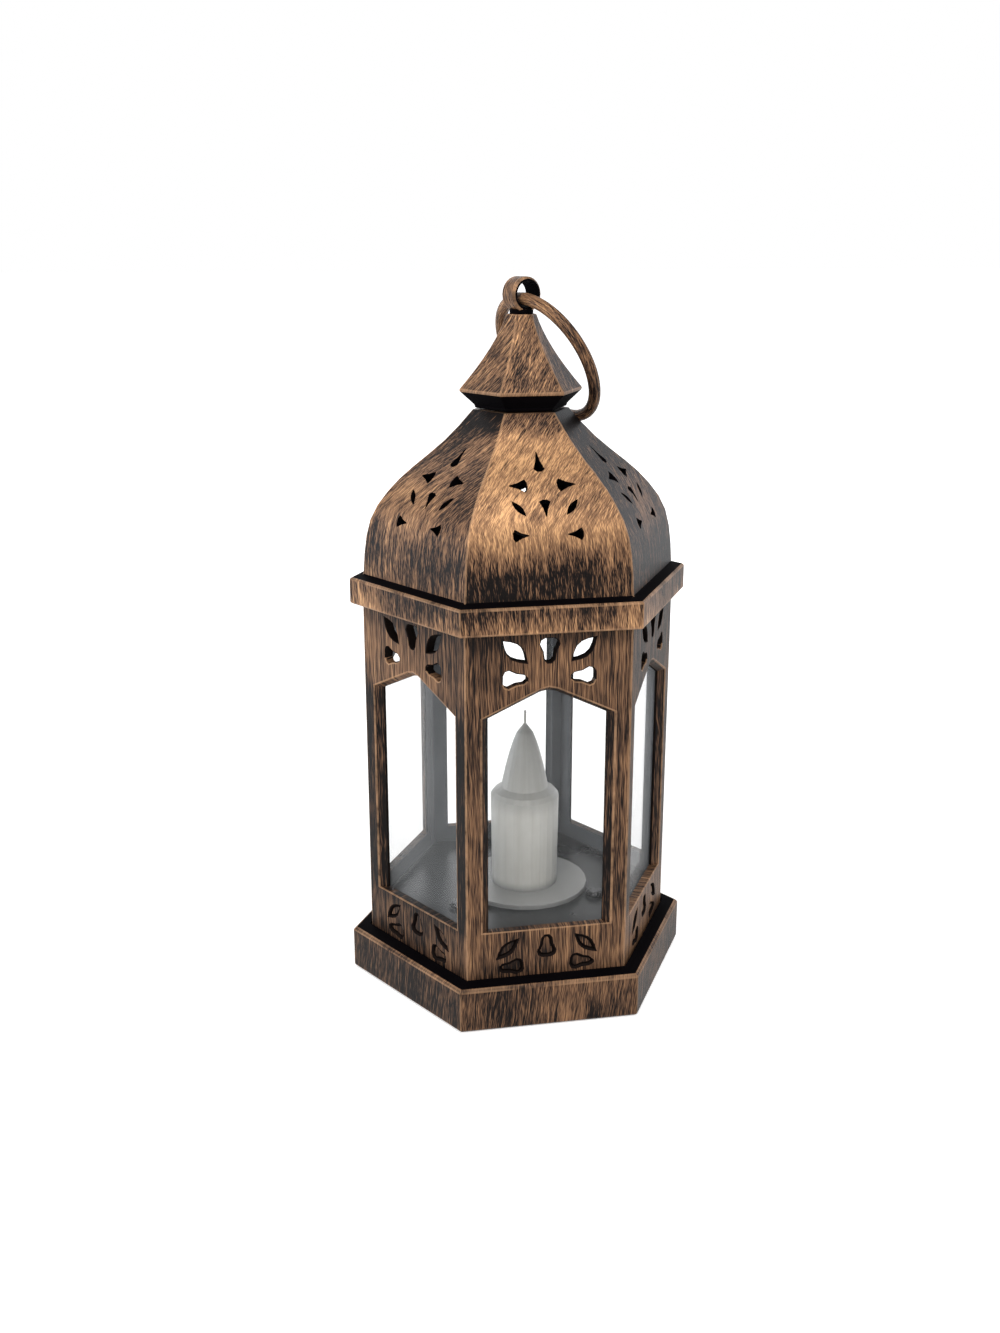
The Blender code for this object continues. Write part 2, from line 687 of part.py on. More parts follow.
def pan_screw(name, place, seat_z, length, head_radius, direction, look):
    """Pan-head screw whose head rests on a seat; direction is 1 where the shank points up."""
    head = seat_z - direction * SEAT
    crown = head - direction * SCREW_HEAD_HEIGHT
    tip = seat_z + direction * length
    profile = [
        (0.0, crown),
        (head_radius * 0.7, crown),
        (head_radius, crown + direction * SCREW_HEAD_HEIGHT / 2),
        (head_radius, head),
        (SCREW_RADIUS, head),
        (SCREW_RADIUS, tip - direction * SCREW_RADIUS),
        (0.0, tip),
    ]
    if direction > 0:
        profile.reverse()
    obj = turned(name, profile, SCREW_SIDES)
    obj.location = (place[0], place[1], 0.0)
    return dress(obj, look["steel"], 40.0)


def screws(look):
    """The floor screws, the board screws and the screw that holds the finial."""
    depth = SCREW_LENGTH - SEAT
    for number, place in enumerate(screw_places(), 1):
        pan_screw(f"floor_screw_{number}", place, FLOOR_TOP_Z, depth, SCREW_HEAD_RADIUS, -1, look)
    depth = BOARD_SCREW_LENGTH - SEAT
    for number, place in enumerate(BOARD_POSTS, 1):
        pan_screw(f"board_screw_{number}", place, BOARD_TOP_Z, depth, SCREW_HEAD_RADIUS, -1, look)
    pan_screw("finial_screw", (0.0, 0.0), DOME_TOP_Z - DOME_WALL, FINIAL_SCREW_LENGTH - SEAT,
              FINIAL_SCREW_HEAD_RADIUS, 1, look)


def flame_curve(radius, foot_z, height):
    """The bullet-shaped side of the flame from its tip down, without the tip itself."""
    shares = [1.0 - step / FLAME_STEPS for step in range(1, FLAME_STEPS + 1)]
    return [(radius * (1.0 - share) ** FLAME_FULLNESS, foot_z + height * share) for share in shares]


def candle(look):
    """Thin milky shell: flange, body, sloping shoulder, flame and a short wick, open below."""
    flange_top = CANDLE_FOOT_Z + CANDLE_FLANGE_THICKNESS
    wick_foot = FLAME_Z + FLAME_HEIGHT * (1.0 - (WICK_RADIUS / FLAME_RADIUS) ** (1.0 / FLAME_FULLNESS))
    wick_top = FLAME_Z + FLAME_HEIGHT + WICK_HEIGHT
    outer = [(0.0, wick_top), (WICK_RADIUS, wick_top), (WICK_RADIUS, wick_foot)]
    outer += flame_curve(FLAME_RADIUS, FLAME_Z, FLAME_HEIGHT)
    outer += [
        (CANDLE_TOP_RADIUS * 0.9, SHOULDER_Z + CANDLE_SHOULDER_HEIGHT / 2),
        (CANDLE_TOP_RADIUS, SHOULDER_Z),
        (CANDLE_FOOT_RADIUS, flange_top),
        (CANDLE_FLANGE_RADIUS, flange_top),
        (CANDLE_FLANGE_RADIUS, CANDLE_FOOT_Z),
        (CANDLE_FOOT_RADIUS - CANDLE_WALL, CANDLE_FOOT_Z),
    ]
    inner = [(CANDLE_TOP_RADIUS - CANDLE_WALL, SHOULDER_Z - CANDLE_WALL / 2)]
    inner += list(reversed(flame_curve(FLAME_RADIUS - CANDLE_WALL, FLAME_Z, FLAME_HEIGHT - 2 * CANDLE_WALL)))
    inner += [(0.0, FLAME_Z + FLAME_HEIGHT - 2 * CANDLE_WALL)]
    obj = turned("candle", outer + inner, ROUND_SIDES)
    obj.location = (CANDLE_X, 0.0, 0.0)
    return dress(obj, look["wax"], 50.0)


def led(look):
    """Round-topped lamp on two leads that stand on the board."""
    foot = SHOULDER_Z - LED_DROP
    body_top = foot + LED_BODY_HEIGHT
    angles = [math.radians(30.0 * step) for step in range(4)]
    dome = [(LED_RADIUS * math.sin(a), body_top + LED_RADIUS * math.cos(a)) for a in angles]
    obj = turned("led", dome + [
        (LED_RADIUS, foot + LED_FLANGE_HEIGHT),
        (LED_FLANGE_RADIUS, foot + LED_FLANGE_HEIGHT),
        (LED_FLANGE_RADIUS, foot),
        (0.0, foot),
    ], SCREW_SIDES)
    half = LED_LEAD / 2
    for side in (-1, 1):
        x = side * LED_PITCH / 2
        join(obj, block("lead", (x - half, -half, BOARD_TOP_Z + SEAT), (x + half, half, foot + EMBED)))
    obj.location = (CANDLE_X, 0.0, 0.0)
    return dress(obj, look["lamp"], 40.0)


# Cage and panes

def arch_outline(half_width, lift, sill_z):
    """A pointed-arch outline: its slopes are the window's, raised or lowered by a lift."""
    slope = ARCH_RISE / (WINDOW_WIDTH / 2)
    apex = APEX_Z + lift

    def crown(x):
        flat = max(0.0, APEX_ROUNDING - abs(x))
        return apex - slope * (abs(x) + flat ** 2 / (2 * APEX_ROUNDING))

    across = (-half_width, -APEX_ROUNDING, 0.0, APEX_ROUNDING, half_width)
    top = [Vector((x, crown(x))) for x in reversed(across)]
    return [Vector((-half_width, sill_z)), Vector((half_width, sill_z))] + top


def window_stack():
    """The cutter of the front window: splayed at the face, then straight through the wall."""
    half = WINDOW_WIDTH / 2
    splay = CUT_PAST / REVEAL_DEPTH
    mouth = arch_outline(half + STILE_REVEAL * splay, ARCH_REVEAL * splay, SILL_Z)
    throat = arch_outline(half - STILE_REVEAL, -ARCH_REVEAL, SILL_Z)
    return [
        [Vector((p.x, -CAGE_OUTER - CUT_PAST, p.y)) for p in mouth],
        [Vector((p.x, -CAGE_OUTER + REVEAL_DEPTH, p.y)) for p in throat],
        [Vector((p.x, -CAGE_INNER + CUT_PAST, p.y)) for p in throat],
    ]


def cage(look):
    """Hexagonal frame with six arched windows, a pierced frieze and a sunk pattern below."""
    obj = hex_turned("cage", [
        (CAGE_OUTER, CAGE_TOP_Z),
        (CAGE_OUTER, CAGE_FOOT_Z),
        (CAGE_INNER, CAGE_FOOT_Z),
        (CAGE_INNER, CAGE_TOP_Z),
    ])
    past = CAGE_OUTER + CUT_PAST
    pierced = [
        wall_stack(outline, CORNICE_Z, past, CAGE_INNER - CUT_PAST)
        for outline in both_sides(FRIEZE_PETALS)
    ]
    sunk = [
        wall_stack(outline, SILL_Z, past, CAGE_OUTER - RAIL_PETAL_DEPTH)
        for outline in both_sides(RAIL_PETALS)
    ]
    cut(obj, lofted("openings", around([window_stack()] + pierced + sunk)))
    return dress(obj, look["bronze"])


def window_panes(look):
    """Six clear gabled panes behind the windows, standing on the floor."""
    outer = CAGE_INNER - SEAT
    outline = arch_outline(WINDOW_WIDTH / 2 - STILE_REVEAL + PANE_LAP, PANE_LAP - ARCH_REVEAL,
                           FLOOR_TOP_Z + SEAT)
    front = wall_stack(outline, 0.0, outer, outer - PANE_THICKNESS)
    for number, stack in enumerate(around([front]), 1):
        dress(lofted(f"window_pane_{number}", [stack]), look["clear"])


# Roof

def dome_curve():
    """The dome's side at the middle of a face, from foot to neck, as (half flats, z)."""
    neck = DOME_NECK_FLATS / 2
    return bezier([
        (DOME_FOOT, DOME_FOOT_Z),
        (DOME_FOOT, DOME_FOOT_Z + DOME_FOOT_RISE),
        (neck + DOME_SWEEP_OUT, DOME_TOP_Z - DOME_SWEEP_DOWN),
        (neck, DOME_TOP_Z),
    ], DOME_STEPS)


def inward(curve, depth):
    """A curve of (half flats, z) points moved inwards along its normals."""
    moved = []
    for i, (half, z) in enumerate(curve):
        before = Vector(curve[max(i - 1, 0)])
        after = Vector(curve[min(i + 1, len(curve) - 1)])
        along = (after - before).normalized()
        moved.append((half - along.y * depth, z + along.x * depth))
    return moved


def dome_petal_stack(petal_points, curve):
    """A petal laid on the front dome face and carried through its wall."""
    up = sum(point.y for point in petal_points) / len(petal_points)
    left = up
    for start, end in zip(curve, curve[1:]):
        run = Vector(end) - Vector(start)
        if left <= run.length:
            break
        left -= run.length
    along = run.normalized()
    half, z = Vector(start) + along * left
    centre = Vector((0.0, -half, z))
    climb = Vector((0.0, -along.x, along.y))
    outward = Vector((0.0, -along.y, -along.x))
    depths = (DOME_WALL + CUT_PAST, -DOME_WALL - CUT_PAST)
    return [
        [centre + Vector((p.x, 0.0, 0.0)) + climb * (p.y - up) + outward * depth for p in petal_points]
        for depth in depths
    ]


def roof(look):
    """Cornice that laps over the cage and a pierced ogee dome with a seat for the finial."""
    curve = dome_curve()
    lining = inward(curve, DOME_WALL)
    ceiling = DOME_TOP_Z - DOME_WALL
    lining = [(half, z) for half, z in lining if DOME_FOOT_Z < z < ceiling]
    cornice = CAGE_OUTER + CORNICE_PROJECTION
    rebate = CAGE_OUTER + SEAT
    spigot_hole = SPIGOT_FLATS / 2 + SEAT
    lining_foot = DOME_FOOT - DOME_WALL
    ceiling_half = DOME_NECK_FLATS / 2 - DOME_WALL / 2
    profile = [(spigot_hole, DOME_TOP_Z)]
    profile += list(reversed(curve))
    profile += [
        (cornice - CORNICE_EASE, CORNICE_TOP_Z),
        (cornice, CORNICE_TOP_Z - CORNICE_EASE),
        (cornice, CORNICE_Z + CORNICE_EASE),
        (cornice - CORNICE_EASE, CORNICE_Z),
        (rebate, CORNICE_Z),
        (rebate, CAGE_TOP_Z + SEAT),
        (lining_foot, CAGE_TOP_Z + SEAT),
        (lining_foot, DOME_FOOT_Z),
    ]
    profile += lining
    profile += [(ceiling_half, ceiling), (spigot_hole, ceiling)]
    obj = hex_turned("roof", profile)
    petals = [dome_petal_stack(outline, curve) for outline in both_sides(DOME_PETALS)]
    cut(obj, lofted("petals", around(petals)))
    return dress(obj, look["bronze"])


# Finial, eye and ring

def finial(look):
    """Concave hexagonal spire with a flared foot, a spigot below and a socket for the eye."""
    flare = FINIAL_FLARE_FLATS / 2
    neck = FINIAL_NECK_FLATS / 2
    spigot = SPIGOT_FLATS / 2
    spire_foot = FLARE_Z + FINIAL_FLARE_EDGE
    socket = (EYE_SHANK_RADIUS + SEAT) / COS_30
    pilot = (SCREW_RADIUS + SCREW_PLAY) / COS_30
    socket_foot = SPIRE_TOP_Z - EYE_SHANK_LENGTH - SEAT
    ceiling = DOME_TOP_Z - DOME_WALL
    spire = bezier([
        (flare, spire_foot),
        (FINIAL_WAIST_FLATS / 2, spire_foot + FINIAL_WAIST_HEIGHT),
        (FINIAL_TOP_FLATS / 2, SPIRE_TOP_Z),
    ], FINIAL_STEPS)
    profile = [(0.0, socket_foot), (socket, socket_foot), (socket, SPIRE_TOP_Z)]
    profile += list(reversed(spire))
    profile += [
        (flare, FLARE_Z),
        (neck, FINIAL_Z + FINIAL_NECK_HEIGHT),
        (neck, FINIAL_Z),
        (spigot, FINIAL_Z),
        (spigot, ceiling + SEAT),
        (pilot, ceiling + SEAT),
        (pilot, ceiling + FINIAL_SCREW_LENGTH),
        (0.0, ceiling + FINIAL_SCREW_LENGTH),
    ]
    return dress(hex_turned("finial", profile), look["bronze"])


def eye_frame():
    """Turns a solid made about Z so that its axis lies along the eye's hole, at the eye."""
    lie_down = Matrix.Rotation(math.radians(90.0), 4, "Y")
    return Matrix.Translation((0.0, 0.0, EYE_Z)) @ Matrix.Rotation(EYE_YAW, 4, "Z") @ lie_down


def hanger_eye(look):
    """Short tube on a foot and a shank that plugs into the top of the finial."""
    half = EYE_LENGTH / 2
    foot_z = SPIRE_TOP_Z + SEAT
    foot_top = foot_z + (EYE_RADIUS - EYE_HOLE_RADIUS) * 0.75
    obj = turned("hanger_eye", [
        (EYE_HOLE_RADIUS, half),
        (EYE_RADIUS - EYE_EDGE, half),
        (EYE_RADIUS, half - EYE_EDGE),
        (EYE_RADIUS, EYE_EDGE - half),
        (EYE_RADIUS - EYE_EDGE, -half),
        (EYE_HOLE_RADIUS, -half),
    ], ROUND_SIDES)
    obj.data.transform(eye_frame())
    join(
        obj,
        rod("foot", EYE_FOOT_RADIUS, (0.0, 0.0, foot_z), (0.0, 0.0, foot_top), ROUND_SIDES),
        rod("shank", EYE_SHANK_RADIUS, (0.0, 0.0, SPIRE_TOP_Z - EYE_SHANK_LENGTH), (0.0, 0.0, foot_top)),
    )
    return dress(obj, look["bronze"], 40.0)


def ring_at(lean):
    """Turns a ring that hangs straight down from the eye out to a lean, away from the axis."""
    swing = Matrix.Rotation(lean, 4, "X")
    return Matrix.Translation((0.0, 0.0, RING_Z)) @ Matrix.Rotation(EYE_YAW, 4, "Z") @ swing


def resting_lean(*supports):
    """The lean at which the ring's wire comes to rest on the roof."""
    trees = []
    for support in supports:
        shape = bmesh.new()
        shape.from_mesh(support.data)
        trees.append(BVHTree.FromBMesh(shape))
        shape.free()
    turns = [math.tau * step / RING_SIDES for step in range(RING_SIDES)]
    wire = [Vector((RING_RADIUS * math.sin(a), 0.0, RING_RADIUS * (math.cos(a) - 1.0))) for a in turns]
    low = math.radians(5.0)
    high = math.radians(85.0)
    while high - low > 1e-5:
        lean = (low + high) / 2
        place = ring_at(lean)
        lower_half = [place @ point for point in wire if point.z < -RING_RADIUS]
        room = min(tree.find_nearest(point)[3] for tree in trees for point in lower_half)
        if room < RING_WIRE_RADIUS + SEAT:
            low = lean
        else:
            high = lean
    return high


def hanging_ring(look, *supports):
    """Plain round ring through the eye, fallen to the back right until it rests on the roof."""
    curve = bpy.data.curves.new("hanging_ring", "CURVE")
    curve.dimensions = "3D"
    curve.bevel_depth = RING_WIRE_RADIUS
    curve.bevel_resolution = WIRE_SIDES // 2 - 2
    spline = curve.splines.new("POLY")
    spline.points.add(RING_SIDES - 1)
    spline.use_cyclic_u = True
    for step, point in enumerate(spline.points):
        angle = math.tau * step / RING_SIDES
        point.co = (RING_RADIUS * math.sin(angle), 0.0, RING_RADIUS * (math.cos(angle) - 1.0), 1.0)
    guide = linked("ring_guide", curve)
    bpy.context.view_layer.update()
    graph = bpy.context.evaluated_depsgraph_get()
    obj = linked("hanging_ring", bpy.data.meshes.new_from_object(guide.evaluated_get(graph)))
    bpy.data.objects.remove(guide)
    obj.matrix_world = ring_at(resting_lean(*supports))
    return dress(obj, look["bronze"], 60.0)


def main():
    """Builds the lantern from the plinth up."""
    for obj in list(bpy.data.objects):
        bpy.data.objects.remove(obj)
    look = finishes()
    plinth(look)
    base_tray(look)
    battery_door(look)
    coin_cell(look)
    circuit_board(look)
    contact_spring(look)
    contact_side(look)
    switch_body(look)
    switch_slider(look)
    inner_floor(look)
    screws(look)
    candle(look)
    led(look)
    cage(look)
    window_panes(look)
    dome = roof(look)
    spire = finial(look)
    hanger_eye(look)
    hanging_ring(look, dome, spire)


main()
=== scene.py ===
"""Looks of a small hexagonal lantern with a battery candle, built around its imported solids."""

from __future__ import annotations

import logging
import math
from dataclasses import dataclass
from enum import Enum, IntEnum
from typing import ClassVar, Mapping, Optional, Sequence, Tuple, Union

import bpy
import numpy as np
from mathutils import Matrix, Vector


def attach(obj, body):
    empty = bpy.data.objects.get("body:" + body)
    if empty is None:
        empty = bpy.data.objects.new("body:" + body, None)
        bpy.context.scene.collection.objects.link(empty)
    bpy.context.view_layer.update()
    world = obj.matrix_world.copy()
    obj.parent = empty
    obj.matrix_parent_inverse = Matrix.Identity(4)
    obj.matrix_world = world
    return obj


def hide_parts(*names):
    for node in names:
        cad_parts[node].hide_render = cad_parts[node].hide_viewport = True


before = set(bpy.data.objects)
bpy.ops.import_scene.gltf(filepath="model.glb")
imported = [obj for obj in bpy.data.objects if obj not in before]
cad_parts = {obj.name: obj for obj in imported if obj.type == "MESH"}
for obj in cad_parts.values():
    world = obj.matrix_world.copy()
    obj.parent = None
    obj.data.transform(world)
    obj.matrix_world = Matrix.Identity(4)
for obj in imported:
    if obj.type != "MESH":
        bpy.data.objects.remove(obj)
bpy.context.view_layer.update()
LOG = logging.getLogger("lantern")

SIDES = 6
TAN_HALF_SIDE = math.tan(math.pi / SIDES)

# Vertices closer than MERGE are one, and faces turned by less than FLAT are one flat face.
MERGE = 1e-6
FLAT = math.radians(0.4)
# Faces that meet at less than this angle are shaded as one curved face.
SMOOTH = math.radians(30.0)
# Distances within which an edge lies on a face, and within which a rounded edge's faces lie.
NEAR = 0.0002
BESIDE = 0.0006
# How much a face that looks straight out of its side faces out, and a slanted one at the least.
STRAIGHT = 0.9
SLANTED = 0.4

Colour = Tuple[float, float, float]
Operand = Union["Signal", float]
Plug = Union["Signal", float, Sequence[float]]


class Coat(IntEnum):
    """Which finish a face of a moulding has. The value is its material slot.

    EDGE marks the faces that round an edge until they are sorted.
    """

    BRUSHED = 0
    BARE = 1
    LINING = 2
    EDGE = 3


class Signal:
    """One output of a material's node tree that takes part in Python expressions."""

    def __init__(self, graph: "Graph", socket: bpy.types.NodeSocket) -> None:
        """Keeps the socket and the graph that it belongs to.

        Args:
            graph: The graph that new Math nodes are added to.
            socket: The output socket.
        """
        self.graph = graph
        self.socket = socket

    def __add__(self, other: Operand) -> "Signal":
        """The sum of both values."""
        return self.graph.math("ADD", self, other)

    def __sub__(self, other: Operand) -> "Signal":
        """This value less the other."""
        return self.graph.math("SUBTRACT", self, other)

    def __rsub__(self, other: float) -> "Signal":
        """The other value less this one."""
        return self.graph.math("SUBTRACT", other, self)

    def __mul__(self, other: Operand) -> "Signal":
        """The product of both values."""
        return self.graph.math("MULTIPLY", self, other)

    def __abs__(self) -> "Signal":
        """The value without its sign."""
        return self.graph.math("ABSOLUTE", self)

    __radd__ = __add__
    __rmul__ = __mul__

    def at_least(self, other: Operand) -> "Signal":
        """The larger of both values."""
        return self.graph.math("MAXIMUM", self, other)

    def rise(self, low: Operand, high: Operand) -> "Signal":
        """A smooth step from 0 to 1.

        Args:
            low: Where the step leaves 0.
            high: Where the step reaches 1.

        Returns:
            The step as a new signal.
        """
        inputs = {"Value": self, "From Min": low, "From Max": high}
        return self.graph.node("ShaderNodeMapRange", {"interpolation_type": "SMOOTHSTEP"}, inputs)


class Graph:
    """A node tree whose values are written as Python expressions."""

    def __init__(self, owner: Union[bpy.types.Material, bpy.types.World]) -> None:
        """Empties the owner's node tree.

        Args:
            owner: The material or world that the tree belongs to.
        """
        owner.use_nodes = True
        self.tree = owner.node_tree
        self.tree.nodes.clear()

    def plug(self, socket: bpy.types.NodeSocket, value: Plug) -> None:
        """Links a signal to a socket, or sets the socket to a number or colour.

        Args:
            socket: The input socket.
            value: The signal, number, vector or colour.
        """
        if isinstance(value, Signal):
            self.tree.links.new(value.socket, socket)
        elif isinstance(value, (int, float)):
            socket.default_value = float(value)
        elif socket.type == "RGBA":
            socket.default_value = (*value, 1.0)
        else:
            socket.default_value = tuple(value)

    def add(
        self, kind: str, settings: Mapping[str, object], inputs: Mapping[Union[str, int], Plug]
    ) -> bpy.types.Node:
        """Adds any node.

        Args:
            kind: The node's type.
            settings: Its properties, set first.
            inputs: Values or links for its sockets, by name or number.

        Returns:
            The node.
        """
        node = self.tree.nodes.new(kind)
        for key, value in settings.items():
            setattr(node, key, value)
        for key, value in inputs.items():
            self.plug(node.inputs[key], value)
        return node

    def node(
        self,
        kind: str,
        settings: Mapping[str, object],
        inputs: Mapping[Union[str, int], Plug],
        output: Union[str, int] = 0,
    ) -> Signal:
        """Adds any node and goes on with one of its outputs.

        Args:
            kind: The node's type.
            settings: Its properties.
            inputs: Values or links for its sockets, by name or number.
            output: The output to go on with.

        Returns:
            That output as a signal.
        """
        return Signal(self, self.add(kind, settings, inputs).outputs[output])

    def math(self, operation: str, *values: Operand) -> Signal:
        """A Math node on one, two or three values."""
        return self.node("ShaderNodeMath", {"operation": operation}, dict(enumerate(values)))

    def place(self) -> Signal:
        """Object coordinates."""
        return self.node("ShaderNodeTexCoord", {}, {}, "Object")

    def attribute(self, name: str) -> Signal:
        """A number that the mesh carries."""
        return self.node("ShaderNodeAttribute", {"attribute_name": name}, {}, "Fac")

    def split(self, vector: Signal) -> Tuple[Signal, Signal, Signal]:
        """The three parts of a vector."""
        x, y, z = self.add("ShaderNodeSeparateXYZ", {}, {0: vector}).outputs
        return Signal(self, x), Signal(self, y), Signal(self, z)

    def vector(self, x: Operand, y: Operand, z: Operand) -> Signal:
        """A vector from three values."""
        return self.node("ShaderNodeCombineXYZ", {}, {0: x, 1: y, 2: z})

    def noise(self, vector: Signal, scale: float, detail: float = 2.0, rough: float = 0.5) -> Signal:
        """A cloudy value round 0.5.

        Args:
            vector: Where it is read.
            scale: Lumps in one unit of the vector.
            detail: Octaves of finer lumps.
            rough: How much the finer lumps count.

        Returns:
            The value as a signal.
        """
        inputs = {"Vector": vector, "Scale": scale, "Detail": detail, "Roughness": rough}
        return self.node("ShaderNodeTexNoise", {}, inputs, "Fac")

    def mix(self, share: Operand, first: Plug, second: Plug) -> Signal:
        """A colour between two colours.

        Args:
            share: How much of the second colour is in it.
            first: The colour at 0.
            second: The colour at 1.

        Returns:
            The mixed colour.
        """
        inputs = {0: share, 6: first, 7: second}
        return self.node("ShaderNodeMix", {"data_type": "RGBA"}, inputs, 2)

    def relief(self, height: Signal, depth: float, strength: float) -> Signal:
        """A normal that follows a height.

        Args:
            height: From 0, low, to 1, high.
            depth: The difference in metres.
            strength: How much of it shows.

        Returns:
            The normal.
        """
        inputs = {"Strength": strength, "Distance": depth, "Height": height}
        return self.node("ShaderNodeBump", {}, inputs)

    def looks(self, *kinds: str) -> Signal:
        """Tells rays of some kinds from others.

        Args:
            kinds: The kinds, such as Camera or Glossy.

        Returns:
            1 on rays of those kinds, and else 0.
        """
        path = self.add("ShaderNodeLightPath", {}, {}).outputs
        share = Signal(self, path[f"Is {kinds[0]} Ray"])
        for kind in kinds[1:]:
            share = share.at_least(Signal(self, path[f"Is {kind} Ray"]))
        return share


class Finish(Graph):
    """The node tree of one material round a Principled shader."""

    def __init__(self, name: str) -> None:
        """Makes the material.

        Args:
            name: The material's name.
        """
        self.material = bpy.data.materials.new(name)
        super().__init__(self.material)

    def surface(self, inputs: Mapping[str, Plug]) -> bpy.types.Material:
        """Adds the shader and the output.

        Args:
            inputs: Values or links by the shader's socket names.

        Returns:
            The finished material.
        """
        shader = self.node("ShaderNodeBsdfPrincipled", {}, inputs)
        self.add("ShaderNodeOutputMaterial", {}, {"Surface": shader})
        return self.material


@dataclass(frozen=True)
class Band:
    """A height range that gets more paint than elsewhere, or less; several ranges are painted shade
    and painted highlight.

    Attributes:
        low: Where the range starts.
        high: Where it ends.
        fade: Height over which it fades out on both sides.
        paint: Cover that it adds, below 0 where it stays dark, which on several ranges is painted
            shade.
        side: The one side that has it, or None for all six.
    """

    low: float
    high: float
    fade: float
    paint: float
    side: Optional[int] = None


@dataclass(frozen=True)
class Streak:
    """One grade of the brush's streaks.

    Attributes:
        across: Streaks in a metre across the strokes.
        along: Streaks in a metre along them.
        shift: A number that keeps its pattern apart from the others.
        share: How much it counts.
        rough: How much its finer lumps count.
    """

    across: float
    along: float
    shift: float
    share: float
    rough: float = 0.6


@dataclass(frozen=True)
class Scratch:
    """Thin crisp lines that a few stiff bristles leave.

    Attributes:
        slant: How far they lean across the strokes.
        shift: A number that keeps their pattern apart from the others.
        paint: Paint that they add, below 0 where they scrape it off.
    """

    slant: float
    shift: float
    paint: float

    ACROSS: ClassVar[float] = 3000.0
    ALONG: ClassVar[float] = 230.0
    CREST: ClassVar[Tuple[float, float]] = (0.70, 0.98)

    def lines(self, graph: Graph, across: Signal, along: Signal, layer: Signal) -> Signal:
        """The lines' pattern.

        Args:
            graph: The material's graph.
            across: Place across the strokes.
            along: Place along the strokes.
            layer: A number that differs where the lines have to differ.

        Returns:
            1 on the lines and 0 between them.
        """
        leaning = across + along * self.slant
        spot = graph.vector(leaning * self.ACROSS, along * self.ALONG, layer + self.shift)
        return (1.0 - abs(graph.noise(spot, 1.0, rough=0.7) * 2.0 - 1.0)).rise(*self.CREST)


